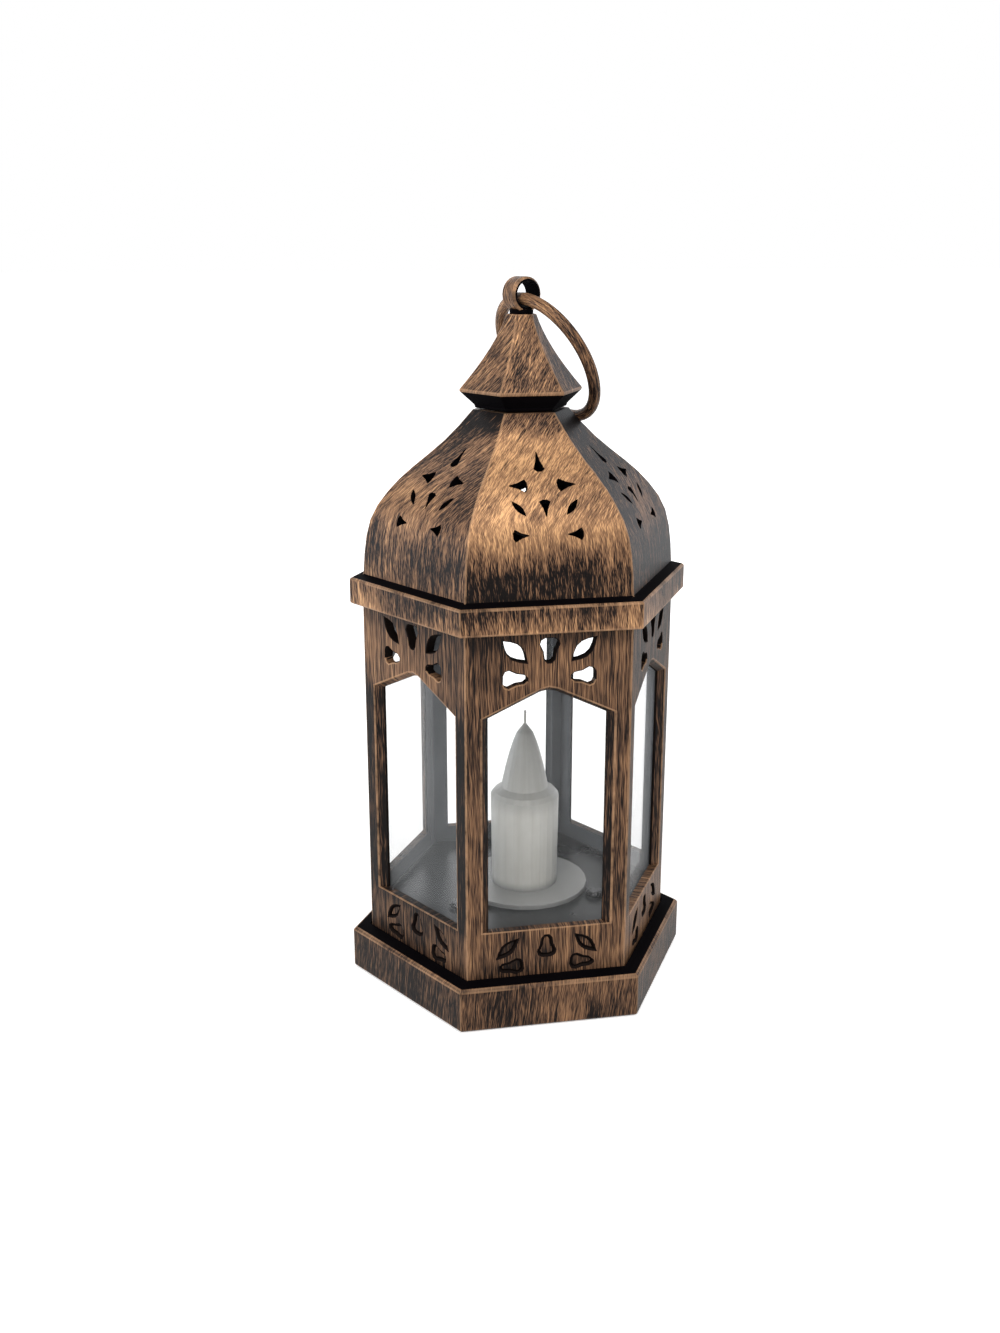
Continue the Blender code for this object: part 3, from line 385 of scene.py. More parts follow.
@dataclass(frozen=True)
class BrushedBronze:
    """Bronze paint dry-brushed in streaks over a black moulding, worn bright on the edges.

    Attributes:
        name: The material's name.
        cover: Share of the surface that the paint covers.
        patches: How unevenly it covers.
        pull: Length of the strokes, 1 for the dome's.
        lean: Angle of the strokes above lean_high, from upright.
        lean_low: Height up to which the strokes are upright.
        lean_high: Height from which they lean.
        bands: Height ranges with more or less paint.
        ridge: How bright the six corner ridges are worn.
        width: Width of the strokes, 1 for the dome's.
        contrast: How strongly the strokes differ, 1 for the dome's.
    """

    name: str
    cover: float
    patches: float = 0.4
    pull: float = 1.0
    lean: float = 0.0
    lean_low: float = -2.0
    lean_high: float = -1.0
    bands: Tuple[Band, ...] = ()
    ridge: float = 0.5
    width: float = 1.0
    contrast: float = 1.0

    BLACK: ClassVar[Colour] = (0.0044, 0.0031, 0.0030)
    UMBER: ClassVar[Colour] = (0.074, 0.041, 0.0265)
    BRONZE: ClassVar[Colour] = (0.232, 0.124, 0.066)
    GOLD: ClassVar[Colour] = (0.565, 0.324, 0.158)
    BRIGHT: ClassVar[Colour] = (0.360, 0.212, 0.120)
    # From how much paint to how much each tone comes in over the one before it.
    TONES: ClassVar[Tuple[Tuple[float, float, Colour], ...]] = (
        (-0.20, -0.08, UMBER),
        (-0.14, 0.03, BRONZE),
        (0.00, 0.19, GOLD),
    )
    METALLIC: ClassVar[Tuple[float, float]] = (-0.05, 0.10)
    # Hairs within bristles within broad pulls.
    STREAKS: ClassVar[Tuple[Streak, ...]] = (
        Streak(across=8000.0, along=330.0, shift=3.0, share=0.30),
        Streak(across=4000.0, along=180.0, shift=0.0, share=0.42),
        Streak(across=1600.0, along=70.0, shift=9.0, share=0.28, rough=0.5),
    )
    SCRATCHES: ClassVar[Tuple[Scratch, ...]] = (
        Scratch(slant=0.15, shift=17.0, paint=-0.16),
        Scratch(slant=-0.12, shift=23.0, paint=0.08),
    )
    # Metres by which the strokes sway, by which their lean starts unevenly, and that they stand up.
    SWAY: ClassVar[float] = 0.0007
    UNEVEN: ClassVar[float] = 0.012
    RELIEF: ClassVar[float] = 0.00014
    # Lumps in a metre of the sway, across and along, the uneven start, the patches and the scuffs.
    SWAYS: ClassVar[Tuple[float, float]] = (260.0, 120.0)
    STARTS: ClassVar[float] = 90.0
    CLOUDS: ClassVar[float] = 62.0
    SCUFFS: ClassVar[float] = 260.0
    # Steps between the patterns of two sides, and to that of the leaning strokes.
    SIDE_STEP: ClassVar[float] = 4.7
    LEAN_STEP: ClassVar[float] = 31.0
    # What the cover and the darkening, thin paint and partly painted shade, count for against the
    # strokes.
    COVER_GAIN: ClassVar[float] = 0.34
    COVER_BASE: ClassVar[float] = -0.15
    DARKENING_GAIN: ClassVar[float] = 0.45
    RIDGE_WIDTH: ClassVar[Tuple[float, float]] = (0.00005, 0.00035)

    def strokes(self, graph: Graph, across: Signal, along: Signal, layer: Signal) -> Signal:
        """Streaks and scratches of a stiff brush.

        Args:
            graph: The material's graph.
            across: Place across the strokes, in metres.
            along: Place along the strokes, in metres.
            layer: A number that differs where the streaks have to differ.

        Returns:
            A value round 0.5, high where the brush left paint.
        """
        spot = graph.vector(across * self.SWAYS[0], along * self.SWAYS[1], layer)
        sway = graph.noise(spot, 1.0, detail=1.0)
        across = (across + (sway - 0.5) * self.SWAY) * (1.0 / self.width)
        run = along * (1.0 / self.pull)
        total = 0.0
        for streak in self.STREAKS:
            spot = graph.vector(across * streak.across, run * streak.along, layer + streak.shift)
            total = graph.noise(spot, 1.0, rough=streak.rough) * streak.share + total
        for scratch in self.SCRATCHES:
            total = scratch.lines(graph, across, run, layer) * scratch.paint + total
        return total

    def cover_at(self, graph: Graph, place: Signal, height: Signal, side: Signal) -> Signal:
        """How much paint there is, before the strokes break it up.

        Args:
            graph: The material's graph.
            place: Object coordinates.
            height: Their upright part.
            side: Number of the side.

        Returns:
            The cover, round the finish's own.
        """
        clouds = graph.noise(place, self.CLOUDS, detail=3.0, rough=0.6)
        cover = (clouds - 0.5) * (self.patches * 2.0) + self.cover
        for band in self.bands:
            inside = height.rise(band.low - band.fade, band.low)
            inside = inside * (1.0 - height.rise(band.high, band.high + band.fade))
            if band.side is not None:
                inside = inside * graph.math("COMPARE", side, band.side, 0.5)
            cover = cover + inside * band.paint
        return cover

    def leaning(
        self, graph: Graph, across: Signal, along: Signal, layer: Signal, height: Signal
    ) -> Signal:
        """Strokes that stand upright below and lean above.

        Args:
            graph: The material's graph.
            across: Place across the upright strokes, in metres.
            along: Place along them, in metres.
            layer: A number that differs where the streaks have to differ.
            height: Height, in metres.

        Returns:
            A value round 0.5, high where the brush left paint.
        """
        upright = self.strokes(graph, across, along, layer)
        if not self.lean:
            return upright
        cosine, sine = math.cos(math.radians(self.lean)), math.sin(math.radians(self.lean))
        turned_across = across * cosine - along * sine
        turned_along = along * cosine + across * sine
        turned = self.strokes(graph, turned_across, turned_along, layer + self.LEAN_STEP)
        edge = height + (graph.noise(graph.place(), self.STARTS) - 0.5) * self.UNEVEN
        return upright + (turned - upright) * edge.rise(self.lean_low, self.lean_high)

    def material(self) -> bpy.types.Material:
        """The finish as a material.

        Returns:
            The material.
        """
        graph = Finish(self.name)
        place = graph.place()
        height = graph.split(place)[2]
        across, along, _ = graph.split(graph.node("ShaderNodeUVMap", {"uv_map": "brush"}, {}))
        side = graph.attribute("side")
        strokes = self.leaning(graph, across, along, side * self.SIDE_STEP, height)
        # The darkening mark is thin paint and, on the sides, partly painted shade.
        cover = self.cover_at(graph, place, height, side) - graph.attribute("thin") * self.DARKENING_GAIN
        paint = (strokes - 0.5) * self.contrast + cover * self.COVER_GAIN + self.COVER_BASE
        rub = graph.attribute("worn")
        if self.ridge:
            to_ridge = (height - along) * TAN_HALF_SIDE - abs(across)
            rub = rub.at_least((1.0 - to_ridge.rise(*self.RIDGE_WIDTH)) * self.ridge)
        scuffs = graph.noise(graph.vector(across, along, height), self.SCUFFS, detail=3.0)
        rub = rub * scuffs.rise(0.22, 0.60)
        colour = self.BLACK
        for low, high, tone in self.TONES:
            colour = graph.mix(paint.rise(low, high), colour, tone)
        metal = paint.rise(*self.METALLIC)
        return graph.surface(
            {
                "Base Color": graph.mix(rub * 0.9, colour, self.BRIGHT),
                "Roughness": 0.46 - metal * 0.06,
                "Metallic": (metal * 0.35).at_least(rub * 0.40),
                "Normal": graph.relief(strokes, self.RELIEF, 0.4),
                "Specular IOR Level": 0.09,
            }
        )


@dataclass(frozen=True)
class SatinMoulding:
    """Plain moulded plastic with a faint mould grain.

    Attributes:
        name: The material's name.
        colour: Its colour.
        rough: Its mean roughness.
        grain: Grains in a metre.
        gloss: Strength of its reflections.
    """

    name: str
    colour: Colour
    rough: float = 0.45
    grain: float = 2600.0
    gloss: float = 0.3

    HAZE: ClassVar[float] = 110.0
    LIGHTER: ClassVar[float] = 1.18
    DARKER: ClassVar[float] = 0.84
    RELIEF: ClassVar[float] = 0.00003

    def material(self) -> bpy.types.Material:
        """The finish as a material.

        Returns:
            The material.
        """
        graph = Finish(self.name)
        place = graph.place()
        grain = graph.noise(place, self.grain, rough=0.6)
        haze = graph.noise(place, self.HAZE, detail=3.0, rough=0.6)
        lighter = tuple(channel * self.LIGHTER + 0.0005 for channel in self.colour)
        darker = tuple(channel * self.DARKER for channel in self.colour)
        return graph.surface(
            {
                "Base Color": graph.mix(haze.rise(0.25, 0.75), darker, lighter),
                "Roughness": haze * 0.16 + (self.rough - 0.08),
                "Normal": graph.relief(grain, self.RELIEF, 0.25),
                "Specular IOR Level": self.gloss,
            }
        )


@dataclass(frozen=True)
class MilkyShell:
    """Milky translucent plastic with faint upright flow lines, and painted shade on its flange and
    flame.

    Attributes:
        name: The material's name.
        axis_x: Where the candle's axis stands.
    """

    name: str
    axis_x: float

    CLOUDY: ClassVar[Colour] = (0.520, 0.515, 0.480)
    CLEAR: ClassVar[Colour] = (0.600, 0.600, 0.570)
    # Grey of the painted shade on the flange and the flame.
    THIN: ClassVar[Colour] = (0.180, 0.183, 0.182)
    # Heights over which the flange ends and the flame starts, which bound the painted shade on the
    # flange and, fainter, on the flame.
    FLANGE: ClassVar[Tuple[float, float]] = (0.0160, 0.0190)
    FLAME: ClassVar[Tuple[float, float]] = (0.0325, 0.0360)
    # Flow lines in a radian and in a metre of height, and clouds in a metre.
    FLOW: ClassVar[Tuple[float, float]] = (5.0, 35.0)
    CLOUDS: ClassVar[float] = 240.0
    RELIEF: ClassVar[float] = 0.00008

    def material(self) -> bpy.types.Material:
        """The finish as a material.

        Returns:
            The material.
        """
        graph = Finish(self.name)
        place = graph.place()
        x, y, height = graph.split(place)
        turn = graph.math("ARCTAN2", y, x - self.axis_x)
        spot = graph.vector(turn * self.FLOW[0], height * self.FLOW[1], 0.0)
        flow = graph.noise(spot, 1.0, detail=3.0, rough=0.6)
        cloud = graph.noise(place, self.CLOUDS, detail=3.0, rough=0.6)
        share = flow * 0.6 + cloud * 0.4
        colour = graph.mix(share.rise(0.3, 0.7), self.CLOUDY, self.CLEAR)
        # Painted shade: darker on the flange and, fainter, on the flame.
        thin = (1.0 - height.rise(*self.FLANGE)).at_least(height.rise(*self.FLAME) * 0.35)
        return graph.surface(
            {
                "Base Color": graph.mix(thin, colour, self.THIN),
                "Roughness": cloud * 0.2 + 0.32,
                "Normal": graph.relief(flow, self.RELIEF, 0.3),
                "Subsurface Weight": 0.25,
                "Subsurface Radius": (1.0, 0.95, 0.85),
                "Subsurface Scale": 0.0015,
            }
        )


@dataclass(frozen=True)
class ClearSheet:
    """Clear plastic sheet whose pale colour turns opaque at a slant as a painted reflection.

    Attributes:
        name: The material's name.
    """

    name: str

    # Pale grey shown as haze at the smudges and as a painted reflection at a slant.
    HAZE_AND_SHEEN: ClassVar[Colour] = (0.78, 0.80, 0.82)
    SMUDGES: ClassVar[float] = 85.0

    def material(self) -> bpy.types.Material:
        """The finish as a material.

        Returns:
            The material.
        """
        graph = Finish(self.name)
        smudge = graph.noise(graph.place(), self.SMUDGES, detail=4.0, rough=0.6)
        slant = graph.node("ShaderNodeLayerWeight", {}, {"Blend": 0.5}, "Facing")
        shine = slant * slant * slant * slant
        return graph.surface(
            {
                "Base Color": self.HAZE_AND_SHEEN,
                "Roughness": smudge * 0.10 + 0.02,
                # Painted reflection: the slant makes the pale colour opaque.
                "Alpha": shine * 0.55 + smudge * 0.03 + 0.01,
            }
        )


@dataclass(frozen=True)
class PlatedMetal:
    """Nickel plate with fine scratches.

    Attributes:
        name: The material's name.
        colour: Its colour.
    """

    name: str
    colour: Colour = (0.60, 0.58, 0.55)

    # Scratches in a metre along x, y and z, and spots of tarnish in a metre.
    SCRATCHES: ClassVar[Tuple[float, float, float]] = (5200.0, 420.0, 900.0)
    TARNISH: ClassVar[float] = 330.0
    DULL: ClassVar[float] = 0.62
    RELIEF: ClassVar[float] = 0.00002

    def material(self) -> bpy.types.Material:
        """The finish as a material.

        Returns:
            The material.
        """
        graph = Finish(self.name)
        place = graph.place()
        spot = [part * pitch for part, pitch in zip(graph.split(place), self.SCRATCHES)]
        scratch = graph.noise(graph.vector(*spot), 1.0, detail=3.0, rough=0.65)
        tarnish = graph.noise(place, self.TARNISH, detail=3.0, rough=0.6)
        dull = tuple(channel * self.DULL for channel in self.colour)
        return graph.surface(
            {
                "Base Color": graph.mix(tarnish.rise(0.35, 0.75), self.colour, dull),
                "Roughness": scratch * 0.30 + 0.14,
                "Metallic": 1.0,
                "Normal": graph.relief(scratch, self.RELIEF, 0.2),
            }
        )


@dataclass(frozen=True)
class LampEpoxy:
    """Warm tinted clear epoxy of a lamp.

    Attributes:
        name: The material's name.
    """

    name: str

    AMBER: ClassVar[Colour] = (0.86, 0.74, 0.46)
    PALE: ClassVar[Colour] = (0.92, 0.84, 0.60)
    CLOUDS: ClassVar[float] = 900.0

    def material(self) -> bpy.types.Material:
        """The finish as a material.

        Returns:
            The material.
        """
        graph = Finish(self.name)
        cloud = graph.noise(graph.place(), self.CLOUDS, detail=3.0, rough=0.6)
        return graph.surface(
            {
                "Base Color": graph.mix(cloud.rise(0.3, 0.7), self.AMBER, self.PALE),
                "Roughness": cloud * 0.1 + 0.08,
                "Coat Weight": 0.6,
            }
        )


@dataclass(frozen=True)
class BoardLaminate:
    """Green lacquered laminate with lighter tracks.

    Attributes:
        name: The material's name.
    """

    name: str

    LACQUER: ClassVar[Colour] = (0.020, 0.095, 0.045)
    TRACK: ClassVar[Colour] = (0.050, 0.190, 0.080)
    WEAVE: ClassVar[float] = 9000.0
    CELLS: ClassVar[float] = 330.0
    RELIEF: ClassVar[float] = 0.00002

    def material(self) -> bpy.types.Material:
        """The finish as a material.

        Returns:
            The material.
        """
        graph = Finish(self.name)
        place = graph.place()
        x, y, _ = graph.split(place)
        weave = graph.math("SINE", x * self.WEAVE) * graph.math("SINE", y * self.WEAVE)
        cells = graph.node(
            "ShaderNodeTexVoronoi",
            {"feature": "DISTANCE_TO_EDGE"},
            {"Vector": place, "Scale": self.CELLS, "Randomness": 0.7},
            "Distance",
        )
        track = 1.0 - cells.rise(0.05, 0.09)
        return graph.surface(
            {
                "Base Color": graph.mix(track, self.LACQUER, self.TRACK),
                "Roughness": 0.38 - track * 0.08,
                "Normal": graph.relief(weave, self.RELIEF, 0.2),
            }
        )


def deselect() -> None:
    """Leaves nothing selected, in object mode."""
    if bpy.context.mode != "OBJECT":
        bpy.ops.object.mode_set(mode="OBJECT")
    bpy.ops.object.select_all(action="DESELECT")


def activate(piece: bpy.types.Object) -> None:
    """Makes a piece the only one selected, and the active one.

    Args:
        piece: The piece.
    """
    deselect()
    piece.select_set(True)
    bpy.context.view_layer.objects.active = piece


def apply_modifiers(piece: bpy.types.Object) -> None:
    """Applies every modifier of a piece, in order.

    Args:
        piece: The piece.
    """
    activate(piece)
    for name in [modifier.name for modifier in piece.modifiers]:
        bpy.ops.object.modifier_apply(modifier=name)


def merged_copy(node: str, name: str) -> bpy.types.Object:
    """A copy of a solid's mesh as one skin of flat faces.

    Args:
        node: The solid's name.
        name: The new piece's name.

    Returns:
        The new piece, active, without materials.
    """
    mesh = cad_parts[node].data.copy()
    mesh.materials.clear()
    mesh.name = name
    piece = bpy.data.objects.new(name, mesh)
    bpy.context.scene.collection.objects.link(piece)
    activate(piece)
    bpy.ops.mesh.customdata_custom_splitnormals_clear()
    bpy.ops.object.mode_set(mode="EDIT")
    bpy.ops.mesh.select_all(action="SELECT")
    bpy.ops.mesh.remove_doubles(threshold=MERGE)
    bpy.ops.mesh.dissolve_limited(angle_limit=FLAT)
    bpy.ops.object.mode_set(mode="OBJECT")
    return piece


def paint(node: str, material: bpy.types.Material) -> bpy.types.Object:
    """Gives a solid that shows as it is its material.

    Args:
        node: The solid's name.
        material: Its finish.

    Returns:
        The solid's object.
    """
    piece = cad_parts[node]
    piece.data.materials.clear()
    piece.data.materials.append(material)
    return piece


class Axes:
    """Directions of the hexagon's sides."""

    @staticmethod
    def side(point: Sequence[float]) -> int:
        """Number of the side that a point lies on, counted from the front."""
        turn = math.atan2(point[1], point[0]) + math.pi / 2
        return round(turn / (math.tau / SIDES)) % SIDES

    @staticmethod
    def outward(side: int) -> Vector:
        """Level direction out of a side."""
        turn = side * math.tau / SIDES - math.pi / 2
        return Vector((math.cos(turn), math.sin(turn), 0.0))

    @staticmethod
    def along(side: int) -> Vector:
        """Level direction along a side."""
        out = Axes.outward(side)
        return Vector((-out.y, out.x, 0.0))

    @staticmethod
    def reach(point: Vector) -> float:
        """How far out of its side a point lies from the axis."""
        return point.dot(Axes.outward(Axes.side(point)))

    @staticmethod
    def on_ridge(point: Vector, slack: float) -> bool:
        """True for a point within a slack of the ridge between two sides."""
        across = abs(point.dot(Axes.along(Axes.side(point))))
        return across > Axes.reach(point) * TAN_HALF_SIDE - slack


def near_turn(turn: float, base: float) -> float:
    """An angle moved by whole turns to lie next to another."""
    return turn - math.tau * round((turn - base) / math.tau)


@dataclass
class Moulding:
    """A moulding that is dry-brushed outside: a copy of its solid with rounded edges.

    Attributes:
        node: The solid that it stands for.
        finish: Its brushed finish.
        bare: Finish where the brush doesn't reach.
        lining: Finish of its inside.
        body: The body that it rides on.
        edge: Width of the rounded edges.
        crease: Angle in degrees above which an edge is rounded.
        scant_and_shade: How little paint each side got, from 0 to 1, counted from the front; the sides
            with less are partly painted shade.
        inward: How far in the face of a rounded edge may look and still be worn.
        piece: The finished object.
    """

    node: str
    finish: BrushedBronze
    bare: SatinMoulding
    lining: SatinMoulding
    body: str = "lantern"
    edge: float = 0.00024
    crease: float = 24.0
    # Less paint on the sides than on the front, partly painted shade.
    scant_and_shade: Tuple[float, ...] = (0.0, 0.4, 0.3, 0.2, 0.2, 0.4)
    inward: float = -0.25
    piece: Optional[bpy.types.Object] = None

    def build(self) -> bpy.types.Object:
        """Copies the solid, rounds its edges and lays out the brush strokes.

        Returns:
            The new piece.
        """
        self.piece = merged_copy(self.node, f"brushed_{self.node}")
        bare = self.bare.material()
        for material in (self.finish.material(), bare, self.lining.material(), bare):
            self.piece.data.materials.append(material)
        self.round_edges()
        self.sort_faces()
        self.unwrap()
        activate(self.piece)
        bpy.ops.object.shade_smooth_by_angle(angle=SMOOTH)
        self.piece.modifiers.new("weighted", "WEIGHTED_NORMAL").keep_sharp = True
        apply_modifiers(self.piece)
        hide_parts(self.node)
        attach(self.piece, self.body)
        return self.piece

    def weight(self, middle: Vector) -> float:
        """How much of the full width an edge is rounded by.

        Args:
            middle: The edge's middle.

        Returns:
            A share from 0 to 1.
        """
        return 1.0

    def round_edges(self) -> None:
        """Rounds the edges that are sharper than the crease."""
        mesh = self.piece.data
        faces = {}
        for polygon in mesh.polygons:
            for key in polygon.edge_keys:
                faces.setdefault(key, []).append(polygon.normal)
        weights = []
        for edge in mesh.edges:
            normals = faces.get(tuple(sorted(edge.vertices)), [])
            share = 0.0
            if len(normals) == 2 and math.degrees(normals[0].angle(normals[1])) > self.crease:
                first, second = (mesh.vertices[index].co for index in edge.vertices)
                share = self.weight((first + second) / 2)
            weights.append(share)
        layer = mesh.attributes.new("bevel_weight_edge", "FLOAT", "EDGE")
        layer.data.foreach_set("value", weights)
        bevel = self.piece.modifiers.new("rounding", "BEVEL")
        bevel.width = self.edge
        bevel.segments = 2
        bevel.limit_method = "WEIGHT"
        bevel.use_clamp_overlap = False
        bevel.material = Coat.EDGE
        apply_modifiers(self.piece)

    def coat(self, middle: Vector, normal: Vector, out: Vector) -> Coat:
        """The finish that a face has.

        Args:
            middle: The face's middle.
            normal: Its direction.
            out: The level direction out of its side.

        Returns:
            The finish.
        """
        return Coat.BRUSHED

    def sort_faces(self) -> None:
        """Gives each face its finish, its side, its wear and its darkening, which is thin paint and
        partly painted shade.
        """
        mesh = self.piece.data
        marks = {"side": [], "worn": [], "thin": []}
        for polygon in mesh.polygons:
            side = Axes.side(polygon.center)
            out = Axes.outward(side)
            finish = self.coat(polygon.center, polygon.normal, out)
            rub = self.eased(polygon.center, polygon.normal)
            edge = polygon.material_index == Coat.EDGE and polygon.normal.dot(out) > self.inward
            if edge:
                rub = self.wear(polygon.center)
                finish = Coat.BRUSHED if rub else Coat.BARE
            polygon.material_index = finish
            for index in polygon.vertices:
                thin = 0.0 if edge else self.thin(polygon.center, mesh.vertices[index].co, side)
                for name, value in zip(marks, (self.layer(side), rub, thin)):
                    marks[name].append(float(value))
        for name, values in marks.items():
            mesh.attributes.new(name, "FLOAT", "CORNER").data.foreach_set("value", values)

    def layer(self, side: int) -> int:
        """Number of the strokes' pattern on a side."""
        return side

    def thin(self, middle: Vector, corner: Vector, side: int) -> float:
        """How much a face is darkened at one of its corners, by thin paint and partly by painted
        shade.

        Args:
            middle: The face's middle.
            corner: The corner.
            side: Number of the face's side.

        Returns:
            A share from 0 to 1, below 0 where it got more.
        """
        return self.scant_and_shade[side]

    def eased(self, middle: Vector, normal: Vector) -> float:
        """How bright a face that eases an edge is worn.

        Args:
            middle: The face's middle.
            normal: The face's normal.

        Returns:
            A share from 0 to 1, 0 for any other face.
        """
        return 0.0

    def wear(self, middle: Vector) -> float:
        """How bright a rounded edge is worn.

        Args:
            middle: The edge's middle.

        Returns:
            A share from 0 to 1.
        """
        return 1.0

    def unwrap(self) -> None:
        """Lays out across and along the strokes in metres, side by side."""
        mesh = self.piece.data
        layer = mesh.uv_layers.new(name="brush")
        for polygon in mesh.polygons:
            side = Axes.side(polygon.center)
            out = Axes.outward(side)
            along = Axes.along(side)
            for loop in polygon.loop_indices:
                point = mesh.vertices[mesh.loops[loop].vertex_index].co
                layer.data[loop].uv = (point.dot(along), point.z - point.dot(out))


@dataclass
class Plinth(Moulding):
    """The skirt under the cage, with a black ledge round the cage's foot.

    Attributes:
        ledge: Height from which the ledge counts.
        ease: Height of the eased edge above it.
        wall: Distance from the axis past which an edge is an outer one.
    """

    ledge: float = 0.0082
    ease: float = 0.0008
    wall: float = 0.0290

    def weight(self, middle: Vector) -> float:
        """Rounding on the outer edges, none round the ledge and inside."""
        inner = Axes.reach(middle) < self.wall or middle.z > self.ledge + self.ease
        return 0.0 if inner else 0.7

    def coat(self, middle: Vector, normal: Vector, out: Vector) -> Coat:
        """Brushed sides and eased edge, a bare ledge and a plain inside."""
        plain = Coat.BARE if middle.z > self.ledge else Coat.LINING
        return Coat.BRUSHED if normal.dot(out) > SLANTED else plain

    def eased(self, middle: Vector, normal: Vector) -> float:
        """The eased upper edge is worn."""
        facing = normal.dot(Axes.outward(Axes.side(middle)))
        return 0.3 if middle.z > self.ledge and SLANTED < facing < STRAIGHT else 0.0

    def wear(self, middle: Vector) -> float:
        """Worn along the upper edge and the corners, hardly under the foot."""
        return 0.5 if middle.z > BESIDE else 0.1


@dataclass
class Cage(Moulding):
    """The frame with six windows, a pierced frieze and a rail with sunk petals.

    Attributes:
        skin: Distance of the outer faces from the axis.
        reveal: Depth of the windows' outer reveal.
        sill: Height of the sills.
        apex: Height of the windows' peaks.
        sunk: Depth of the rail's petals.
        edge: Width of the rounded edges.
        ring: Width of the dark ring round each petal's pillow.
        pillow: Height of the pillows.
    """

    skin: float = 0.0267
    reveal: float = 0.0013
    sill: float = 0.0188
    apex: float = 0.0674
    sunk: float = 0.0007
    edge: float = 0.00034
    ring: float = 0.00036
    pillow: float = 0.00030

    def round_edges(self) -> None:
        """Rounds the edges after raising a pillow in each of the rail's petals."""
        activate(self.piece)
        bpy.ops.object.mode_set(mode="EDIT")
        bpy.ops.mesh.select_mode(type="FACE")
        bpy.ops.mesh.select_all(action="DESELECT")
        bpy.ops.object.mode_set(mode="OBJECT")
        for polygon in self.piece.data.polygons:
            polygon.select = self.floor_of_petal(polygon.center, polygon.normal)
        bpy.ops.object.mode_set(mode="EDIT")
        bpy.ops.mesh.inset(thickness=self.ring, depth=self.pillow, use_even_offset=True)
        bpy.ops.object.mode_set(mode="OBJECT")
        super().round_edges()

    def floor_of_petal(self, middle: Vector, normal: Vector) -> bool:
        """Finds the flat floors of the petals that don't go through.

        Args:
            middle: A face's middle.
            normal: Its direction.

        Returns:
            True for such a floor.
        """
        if middle.z > self.sill or normal.dot(Axes.outward(Axes.side(middle))) < STRAIGHT:
            return False
        return abs(self.skin - Axes.reach(middle) - self.sunk) < NEAR / 2

    def beside_window(self, height: float, slack: float) -> bool:
        """True from a slack under the sills to a slack over the windows' peaks."""
        return self.sill - slack < height < self.apex + slack

    def weight(self, middle: Vector) -> float:
        """Full rounding on the rail's petals, less on the skin's other edges.

        Args:
            middle: The edge's middle.

        Returns:
            A share from 0 to 1.
        """
        if Axes.reach(middle) < self.skin - NEAR:
            return 0.0
        if self.beside_window(middle.z, NEAR) or Axes.on_ridge(middle, NEAR):
            return 0.7
        return 0.6 if middle.z > self.apex else 1.0

    def coat(self, middle: Vector, normal: Vector, out: Vector) -> Coat:
        """Brushed skin and outer reveals, bare petals' walls, a plain inside.

        Args:
            middle: The face's middle.
            normal: Its direction.
            out: The level direction out of its side.

        Returns:
            The finish.
        """
        depth = self.skin - middle.dot(out)
        facing = normal.dot(out)
        if facing < -0.5:
            return Coat.LINING
        raised = facing > STRAIGHT and depth < self.sunk - self.pillow / 2
        reveal = self.beside_window(middle.z, 2 * NEAR) and depth < self.reveal
        return Coat.BRUSHED if raised or reveal else Coat.BARE

    def wear(self, middle: Vector) -> float:
        """Bright on the corners, sills and windows."""
        return 0.7 if self.beside_window(middle.z, BESIDE) or Axes.on_ridge(middle, BESIDE) else 0.0

    def thin(self, middle: Vector, corner: Vector, side: int) -> float:
        """The windows' reveals and the pillows of the rail's petals get less paint.

        Args:
            middle: The face's middle.
            corner: The corner.
            side: Number of the face's side.

        Returns:
            A share from 0 to 1.
        """
        if NEAR < self.skin - middle.dot(Axes.outward(side)) < self.reveal:
            return 0.4 if middle.z < self.sill + BESIDE else 0.5
        return super().thin(middle, corner, side)


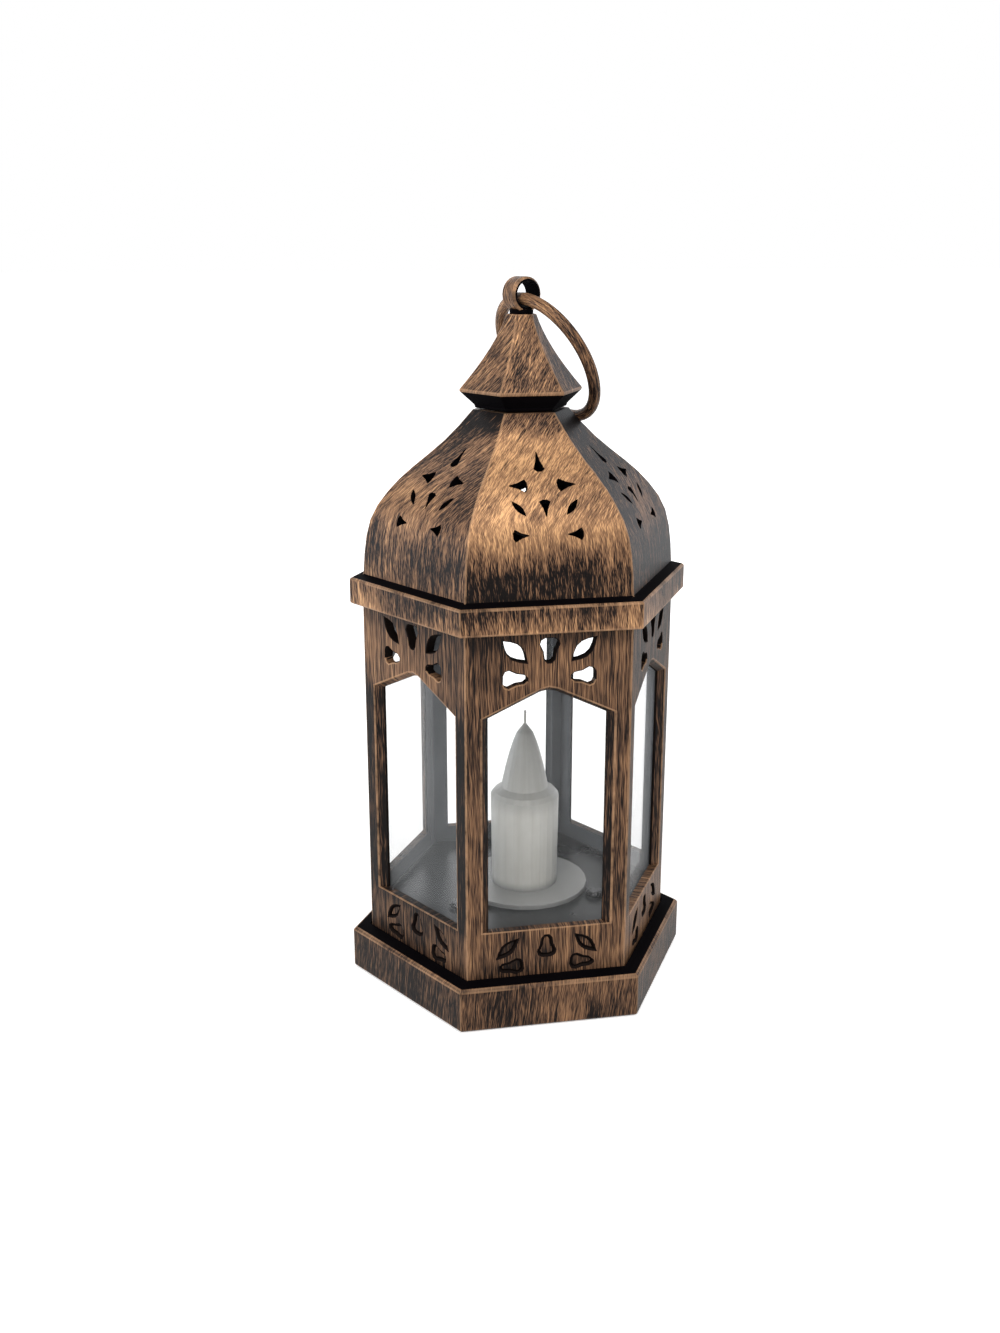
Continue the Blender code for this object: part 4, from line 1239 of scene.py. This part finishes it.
@dataclass
class Roof(Moulding):
    """The cornice and the pierced dome.

    Attributes:
        foot: Height of the dome's foot.
        rim: Distance of the cornice's faces from the axis.
        swell: Height over which the dome's cover changes.
        scant_and_shade: How little paint each side of the dome got above that height, partly painted
            shade on the right side.
        scant_and_shade_low: The same at the dome's foot, where below 0 on the left side it is partly a
            painted highlight.
        fuller: How much further the dome's shoulder stands out than the solid's.
        shoulder: Heights where that starts, where it is full, where it falls off and where it ends.
    """

    foot: float = 0.0829
    rim: float = 0.0288
    swell: float = 0.0140
    # Painted shade in part: the right side (1) is the darkest, and the left foot (5) below 0 is partly
    # a painted highlight.
    scant_and_shade: Tuple[float, ...] = (0.0, 1.45, 0.4, 0.25, 0.35, 1.05)
    scant_and_shade_low: Tuple[float, ...] = (0.06, 0.50, 0.2, 0.10, 0.10, -0.50)
    fuller: float = 0.00085
    shoulder: Tuple[float, ...] = (0.0866, 0.0965, 0.1005, 0.1085)

    def round_edges(self) -> None:
        """Rounds the edges after filling out the dome's shoulder."""
        for vertex in self.piece.data.vertices:
            grow = 1.0 + self.fuller * self.bulge(vertex.co.z) / Axes.reach(vertex.co)
            vertex.co.x *= grow
            vertex.co.y *= grow
        super().round_edges()

    def bulge(self, height: float) -> float:
        """Share of the shoulder's fullness at a height."""
        share = float(np.interp(height, self.shoulder, (0.0, 1.0, 1.0, 0.0)))
        return share * share * (3.0 - 2.0 * share)

    def weight(self, middle: Vector) -> float:
        """Full rounding on the ridges, less on the cornice's eased edges, none on the petals."""
        dome = 1.0 if Axes.on_ridge(middle, NEAR) else 0.0
        return 0.65 if middle.z < self.foot + NEAR else dome

    def coat(self, middle: Vector, normal: Vector, out: Vector) -> Coat:
        """Brushed outside, bare petals' walls, underside and inside.

        Args:
            middle: The face's middle.
            normal: Its direction.
            out: The level direction out of its side.

        Returns:
            The finish.
        """
        facing = normal.dot(out)
        if middle.z < self.foot + NEAR / 2:
            return Coat.BRUSHED if facing > SLANTED else Coat.BARE
        sideways = abs(normal.dot(Axes.along(Axes.side(middle))))
        hidden = sideways > 0.2 or normal.z < -0.3 or facing < -0.02
        return Coat.BARE if hidden else Coat.BRUSHED

    def wear(self, middle: Vector) -> float:
        """Bright on the cornice's outer edges and on the ridges.

        Args:
            middle: The edge's middle.

        Returns:
            A share from 0 to 1.
        """
        if middle.z < self.foot:
            return 0.6 if Axes.reach(middle) > self.rim - BESIDE else 0.0
        return 0.7 if Axes.on_ridge(middle, BESIDE) else 0.0

    def eased(self, middle: Vector, normal: Vector) -> float:
        """The cornice's eased edges are worn."""
        facing = normal.dot(Axes.outward(Axes.side(middle)))
        return 0.5 if middle.z < self.foot and SLANTED < facing < STRAIGHT else 0.0

    def thin(self, middle: Vector, corner: Vector, side: int) -> float:
        """The cornice is well covered, and the dome's sides less so towards the top; the right side's
        darkening is partly painted shade and the left foot's lightening partly a painted highlight.

        Args:
            middle: The face's middle.
            corner: The corner.
            side: Number of the face's side.

        Returns:
            A share, below 0 where it got more paint.
        """
        if middle.z < self.foot:
            return 0.0
        climb = min(max((corner.z - self.foot) / self.swell, 0.0), 1.0)
        return self.scant_and_shade[side] * climb + self.scant_and_shade_low[side] * (1.0 - climb)


@dataclass
class Finial(Moulding):
    """The spire with its flared foot.

    Attributes:
        flare: Height of the flare's lower edge.
        brim: Height up to which that edge reaches.
        top: Height of the spire's flat top.
    """

    flare: float = 0.1168
    brim: float = 0.0008
    top: float = 0.1308

    def weight(self, middle: Vector) -> float:
        """Full rounding on the ridges, less on the flare's narrow edge."""
        return 0.65 if abs(middle.z - self.flare) < self.brim else 1.0

    def coat(self, middle: Vector, normal: Vector, out: Vector) -> Coat:
        """Brushed spire, bare neck, top and underside."""
        hidden = middle.z < self.flare or middle.z > self.top or normal.z < -0.3
        return Coat.BARE if hidden else Coat.BRUSHED

    def eased(self, middle: Vector, normal: Vector) -> float:
        """The flare's narrow edge is worn."""
        return 0.5 if self.flare < middle.z < self.flare + self.brim else 0.0

    def wear(self, middle: Vector) -> float:
        """Bright from the flare upwards."""
        return 0.5 if middle.z > self.flare - BESIDE else 0.0


@dataclass
class HangerEye(Moulding):
    """The short tube across the spire's top.

    Attributes:
        centre: The tube's middle.
        axis: Direction of the tube's hole.
        bore: Radius up to which the hole's wall counts.
        wall: Radius at which the strokes' layout round the tube is true.
        slope: How much the eased rims face along the hole at the least.
        foot: Height under which the foot starts.
        seat: Height by which the foot is let down onto the spire.
    """

    centre: Tuple[float, float, float] = (0.0, 0.0, 0.1344)
    axis: Tuple[float, float, float] = (0.406737, -0.913545, 0.0)
    bore: float = 0.0025
    wall: float = 0.0030
    slope: float = 0.3
    foot: float = 0.1313
    seat: float = 0.0003

    def weight(self, middle: Vector) -> float:
        """No rounding beyond the tube's eased rims."""
        return 0.0

    def round_edges(self) -> None:
        """Lets the foot down onto the spire."""
        for vertex in self.piece.data.vertices:
            if self.foot - self.seat < vertex.co.z < self.foot:
                vertex.co.z -= self.seat
        super().round_edges()

    def coat(self, middle: Vector, normal: Vector, out: Vector) -> Coat:
        """Brushed outside, with a bare hole, ends and foot.

        Args:
            middle: The face's middle.
            normal: Its direction.
            out: The level direction out of its side.

        Returns:
            The finish.
        """
        arm = middle - Vector(self.centre)
        axis = Vector(self.axis)
        reach = (arm - axis * arm.dot(axis)).length
        end = abs(normal.dot(axis)) > STRAIGHT
        hidden = reach < self.bore or end or middle.z < self.foot + self.seat
        return Coat.BARE if hidden else Coat.BRUSHED

    def eased(self, middle: Vector, normal: Vector) -> float:
        """The tube's eased rims are worn."""
        return 0.4 if self.slope < abs(normal.dot(Vector(self.axis))) < STRAIGHT else 0.0

    def layer(self, side: int) -> int:
        """One pattern all round the tube."""
        return 0

    def unwrap(self) -> None:
        """Lays out the strokes round the tube."""
        mesh = self.piece.data
        layer = mesh.uv_layers.new(name="brush")
        axis = Vector(self.axis)
        level = axis.cross(Vector((0.0, 0.0, 1.0)))
        for polygon in mesh.polygons:
            base = None
            for loop in polygon.loop_indices:
                arm = mesh.vertices[mesh.loops[loop].vertex_index].co - Vector(self.centre)
                turn = math.atan2(arm.z, arm.dot(level))
                base = turn if base is None else base
                reach = math.hypot(arm.z, arm.dot(level))
                layer.data[loop].uv = (arm.dot(axis) + reach, near_turn(turn, base) * self.wall)


@dataclass
class HangingRing(Moulding):
    """The round wire ring through the eye.

    Attributes:
        wire: The wire's radius.
    """

    wire: float = 0.0012

    def round_edges(self) -> None:
        """Smooths the wire with one subdivision instead of rounding edges."""
        smooth = self.piece.modifiers.new("smooth", "SUBSURF")
        smooth.levels = 1
        smooth.render_levels = 1
        apply_modifiers(self.piece)

    def layer(self, side: int) -> int:
        """One pattern all along the wire."""
        return 0

    def unwrap(self) -> None:
        """Lays out the strokes along the wire."""
        mesh = self.piece.data
        layer = mesh.uv_layers.new(name="brush")
        points = np.array([vertex.co for vertex in mesh.vertices])
        centre = points.mean(0)
        _, axes = np.linalg.eigh((points - centre).T @ (points - centre))
        normal, first, second = (Vector(axes[:, index]) for index in range(3))
        radius = float(np.linalg.norm(points - centre, axis=1).mean())
        for polygon in mesh.polygons:
            base = None
            for loop in polygon.loop_indices:
                arm = mesh.vertices[mesh.loops[loop].vertex_index].co - Vector(centre)
                turn = math.atan2(arm.dot(second), arm.dot(first))
                reach = math.hypot(arm.dot(second), arm.dot(first)) - radius
                roll = math.atan2(arm.dot(normal), reach)
                base = (turn, roll) if base is None else base
                turn, roll = near_turn(turn, base[0]), near_turn(roll, base[1])
                layer.data[loop].uv = (roll * self.wire, turn * radius)


@dataclass
class Shell:
    """All the dry-brushed mouldings, from the plinth to the ring.

    Attributes:
        bare: Finish where the brush doesn't reach.
        shade: The same on the cage, a little lighter.
        lining: Finish of the insides, grey that is partly painted glare on the black plastic.
    """

    bare: SatinMoulding = SatinMoulding(
        "bare_black_moulding", (0.0014, 0.0010, 0.0015), rough=0.8, gloss=0.02
    )
    shade: SatinMoulding = SatinMoulding(
        "shaded_moulding", (0.0075, 0.0052, 0.0046), rough=0.8, gloss=0.02
    )
    # Grey inside, partly the plastic's own and partly painted glare.
    lining: SatinMoulding = SatinMoulding("grey_lining_and_painted_glare", (0.080, 0.087, 0.095), rough=0.42)

    def build(self) -> Sequence[bpy.types.Object]:
        """Builds each moulding with its own cover of paint.

        Returns:
            The pieces.
        """
        plinth = BrushedBronze(
            "brushed_plinth", cover=0.22, pull=1.4, lean=8.0, width=0.85, contrast=0.75
        )
        cage = BrushedBronze(
            "brushed_cage",
            cover=0.29,
            patches=0.45,
            pull=2.4,
            bands=(
                # Painted shade: darker under the cornice and at the foot by the plinth.
                Band(0.0760, 0.0800, fade=0.0030, paint=-0.16),
                Band(0.0080, 0.0100, fade=0.0030, paint=-0.05),
                # Darker over the left side's posts.
                Band(0.0200, 0.0580, fade=0.0040, paint=-0.25, side=5),
                # Painted sheen: the left side's frieze is lighter.
                Band(0.0640, 0.0800, fade=0.0040, paint=0.22, side=5),
                # Lighter on the right side's rail.
                Band(0.0080, 0.0185, fade=0.0030, paint=0.25, side=1),
            ),
            ridge=0.35,
            width=0.75,
            contrast=0.85,
        )
        roof = BrushedBronze(
            "brushed_roof",
            cover=0.64,
            patches=0.85,
            lean=28.0,
            lean_low=0.092,
            lean_high=0.100,
            bands=(
                # Painted shade where the dome rises from the cornice.
                Band(0.0829, 0.0865, fade=0.0085, paint=-0.56),
                # More paint and a painted highlight across the dome's shoulder.
                Band(0.0960, 0.1030, fade=0.0050, paint=0.10),
                Band(0.0770, 0.0826, fade=0.0003, paint=0.06),
                # Painted shade under the finial's flare.
                Band(0.1122, 0.1150, fade=0.0033, paint=-0.38),
            ),
        )
        finial = BrushedBronze("brushed_finial", cover=0.45, patches=0.60, lean=24.0)
        eye = BrushedBronze("brushed_eye", cover=0.50, ridge=0.0)
        ring = BrushedBronze("brushed_ring", cover=0.50, ridge=0.0)
        parts = (
            Plinth("plinth", plinth, self.bare, self.lining),
            Cage("cage", cage, self.shade, self.lining),
            Roof("roof", roof, self.bare, self.lining),
            Finial("finial", finial, self.bare, self.lining),
            HangerEye("hanger_eye", eye, self.bare, self.lining),
            HangingRing("hanging_ring", ring, self.bare, self.lining, body="ring"),
        )
        return [part.build() for part in parts]


@dataclass
class Glazing:
    """The six clear panes behind the windows.

    Attributes:
        finish: Their finish.
    """

    finish: ClearSheet = ClearSheet("clear_sheet")

    def dress(self) -> Sequence[bpy.types.Object]:
        """Gives each pane its finish.

        Returns:
            The panes.
        """
        material = self.finish.material()
        return [paint(f"window_pane_{number}", material) for number in range(1, SIDES + 1)]


@dataclass
class CandleUnit:
    """The milky candle and the lamp in its flame.

    Attributes:
        shell: The candle's finish.
        lamp: The lamp's finish.
    """

    shell: MilkyShell = MilkyShell("milky_shell", axis_x=0.0011)
    lamp: LampEpoxy = LampEpoxy("lamp_epoxy")

    def dress(self) -> Sequence[bpy.types.Object]:
        """Gives the candle and the lamp their finishes.

        Returns:
            Both pieces.
        """
        return [paint("candle", self.shell.material()), paint("led", self.lamp.material())]


@dataclass
class BaseUnit:
    """The floor, the tray and what is between them.

    Attributes:
        floor: Finish of the lantern room's floor.
        tray: Finish of the tray and the battery door.
        knob: Finish of the switch's slider.
        steel: Finish of the cell, the contacts and the switch's body.
        dark_steel: Finish of the screws.
        laminate: Finish of the circuit board.
    """

    floor: SatinMoulding = SatinMoulding(
        "slate_floor", (0.009, 0.0102, 0.0114), rough=0.30, grain=1800.0, gloss=0.22
    )
    tray: SatinMoulding = SatinMoulding("slate_tray", (0.040, 0.043, 0.047), rough=0.50)
    knob: SatinMoulding = SatinMoulding("black_knob", (0.012, 0.012, 0.013), rough=0.36)
    steel: PlatedMetal = PlatedMetal("plated_steel")
    dark_steel: PlatedMetal = PlatedMetal("dark_screw", (0.05, 0.05, 0.052))
    laminate: BoardLaminate = BoardLaminate("board_laminate")

    def dress(self) -> Sequence[bpy.types.Object]:
        """Gives each solid its finish.

        Returns:
            The pieces.
        """
        finishes = {
            self.floor: ("inner_floor",),
            self.tray: ("base_tray", "battery_door"),
            self.knob: ("switch_slider",),
            self.steel: ("coin_cell", "contact_spring", "contact_side", "switch_body"),
            self.dark_steel: (
                "floor_screw_1",
                "floor_screw_2",
                "floor_screw_3",
                "board_screw_1",
                "board_screw_2",
                "finial_screw",
            ),
            self.laminate: ("circuit_board",),
        }
        pieces = []
        for finish, nodes in finishes.items():
            material = finish.material()
            pieces += [paint(node, material) for node in nodes]
        return pieces


@dataclass(frozen=True)
class SoftLamp:
    """A square soft lamp.

    Attributes:
        place: Where it hangs.
        power: Its power in watts.
        colour: Its colour.
        size: Its side length.
    """

    place: Tuple[float, float, float]
    power: float
    colour: Colour
    size: float = 0.45


class Lamp(Enum):
    """The lamps of the studio."""

    OVERHEAD = SoftLamp((-0.04, -0.34, 0.68), 4.2, (1.0, 0.98, 0.95))
    FRONT = SoftLamp((-0.30, -0.58, 0.40), 2.4, (1.0, 0.98, 0.95))
    RIGHT = SoftLamp((0.58, 0.46, 0.20), 0.7, (0.86, 0.91, 1.0))
    LEFT = SoftLamp((-0.70, 0.22, 0.16), 2.3, (0.82, 0.90, 1.0))
    BACK = SoftLamp((-0.10, 0.62, 0.35), 1.2, (0.95, 0.97, 1.0), size=0.50)


@dataclass
class Studio:
    """Pale floor, soft light and the camera.

    Attributes:
        eye: Place of the camera.
        azimuth: Degrees that it is turned about the upright.
        elevation: Degrees that it looks down.
        lens: Focal length in millimetres.
        sensor: Width of the sensor in millimetres.
        sky: Strength of the surroundings as light on the object.
        room: Strength of the room behind the camera in reflections.
        sweep: How far behind the object the white sweep starts and is full in reflections.
        overhead: How high up it ends.
        aim: Where the lamps point.
        floor_size: Side length of the floor.
        floor_drop: Depth of the floor under the lantern's foot.
        pool: Distances from the lantern where the floor starts to whiten and where it is white.
    """

    eye: Tuple[float, float, float] = (-0.054103, -0.264253, 0.144571)
    azimuth: float = -10.731
    elevation: float = 16.868
    lens: float = 38.316
    sensor: float = 36.0
    sky: float = 0.34
    room: float = 0.10
    sweep: Tuple[float, float] = (-0.75, -0.15)
    overhead: Tuple[float, float] = (0.45, 0.85)
    aim: Tuple[float, float, float] = (0.0, 0.0, 0.08)
    floor_size: float = 12.0
    floor_drop: float = 0.0001
    pool: Tuple[float, float] = (0.08, 0.55)

    def build(self) -> None:
        """Builds the floor, the light and the camera."""
        self.build_floor()
        self.build_world()
        for lamp in Lamp:
            self.build_lamp(lamp)
        self.build_camera()
        bpy.context.scene.view_settings.view_transform = "Standard"

    def build_floor(self) -> None:
        """A wide pale floor that keeps the lantern's shadow."""
        deselect()
        bpy.ops.mesh.primitive_plane_add(size=self.floor_size, location=(0.0, 0.0, -self.floor_drop))
        floor = bpy.context.active_object
        floor.name = "studio_floor"
        bpy.ops.object.transform_apply(location=True, rotation=True, scale=True)
        graph = Finish("pale_floor")
        place = graph.place()
        paper = graph.noise(place, 30.0, 3.0)
        seen = graph.looks("Camera", "Glossy", "Transmission")
        x, y, _ = graph.split(place)
        far = graph.math("SQRT", x * x + y * y)
        glow = far.rise(*self.pool) * 0.55 + 0.45
        material = graph.surface(
            {
                "Base Color": graph.mix(paper, (0.80, 0.80, 0.80), (0.82, 0.82, 0.82)),
                "Roughness": 0.9,
                "Specular IOR Level": 0.0,
                "Emission Color": graph.mix(seen * glow, (0.0, 0.0, 0.0), (1.0, 1.0, 1.0)),
                "Emission Strength": 1.0,
            }
        )
        floor.data.materials.append(material)

    def build_world(self) -> None:
        """A white sweep behind and a dim room before the object, dimmer as light on it."""
        world = bpy.data.worlds.new("white_studio")
        bpy.context.scene.world = world
        graph = Graph(world)
        _, ahead, up = graph.split(graph.node("ShaderNodeTexCoord", {}, {}, "Generated"))
        sweep = ahead.rise(*self.sweep) * (1.0 - up.rise(*self.overhead))
        mirrored = graph.looks("Glossy")
        strength = mirrored * (sweep * (1.0 - self.room) + self.room) + (1.0 - mirrored) * self.sky
        strength = strength.at_least(graph.looks("Camera", "Transmission"))
        back = graph.node("ShaderNodeBackground", {}, {"Color": (1.0, 1.0, 1.0), "Strength": strength})
        graph.add("ShaderNodeOutputWorld", {}, {"Surface": back})

    def build_lamp(self, lamp: Lamp) -> None:
        """Hangs one soft lamp.

        Args:
            lamp: Which lamp.
        """
        soft = lamp.value
        light = bpy.data.lights.new(f"studio_{lamp.name.lower()}", "AREA")
        light.shape = "SQUARE"
        light.size = soft.size
        light.energy = soft.power
        light.color = soft.colour
        stand = bpy.data.objects.new(light.name, light)
        bpy.context.scene.collection.objects.link(stand)
        stand.location = soft.place
        line = Vector(self.aim) - Vector(soft.place)
        stand.rotation_euler = line.to_track_quat("-Z", "Y").to_euler()

    def build_camera(self) -> None:
        """Sets the camera up where the photograph was taken."""
        turn, tilt = math.radians(self.azimuth), math.radians(self.elevation)
        right = Vector((math.cos(turn), math.sin(turn), 0.0))
        level = Vector((math.sin(turn), -math.cos(turn), 0.0))
        back = level * math.cos(tilt) + Vector((0.0, 0.0, math.sin(tilt)))
        up = back.cross(right)
        lens = bpy.data.cameras.new("studio_camera")
        lens.lens = self.lens
        lens.sensor_width = self.sensor
        lens.clip_start = 0.01
        camera = bpy.data.objects.new("studio_camera", lens)
        bpy.context.scene.collection.objects.link(camera)
        pose = Matrix((right, up, back)).transposed().to_4x4()
        pose.translation = self.eye
        camera.matrix_world = pose
        bpy.context.scene.camera = camera


def main() -> None:
    """Builds the studio and the lantern's sub-assemblies in order."""
    logging.basicConfig(level=logging.INFO, format="%(name)s: %(message)s")
    Studio().build()
    pieces = [*Shell().build(), *Glazing().dress(), *CandleUnit().dress(), *BaseUnit().dress()]
    for piece in pieces:
        LOG.info("%s: %d faces", piece.name, len(piece.data.polygons))


if __name__ == "__main__":
    main()
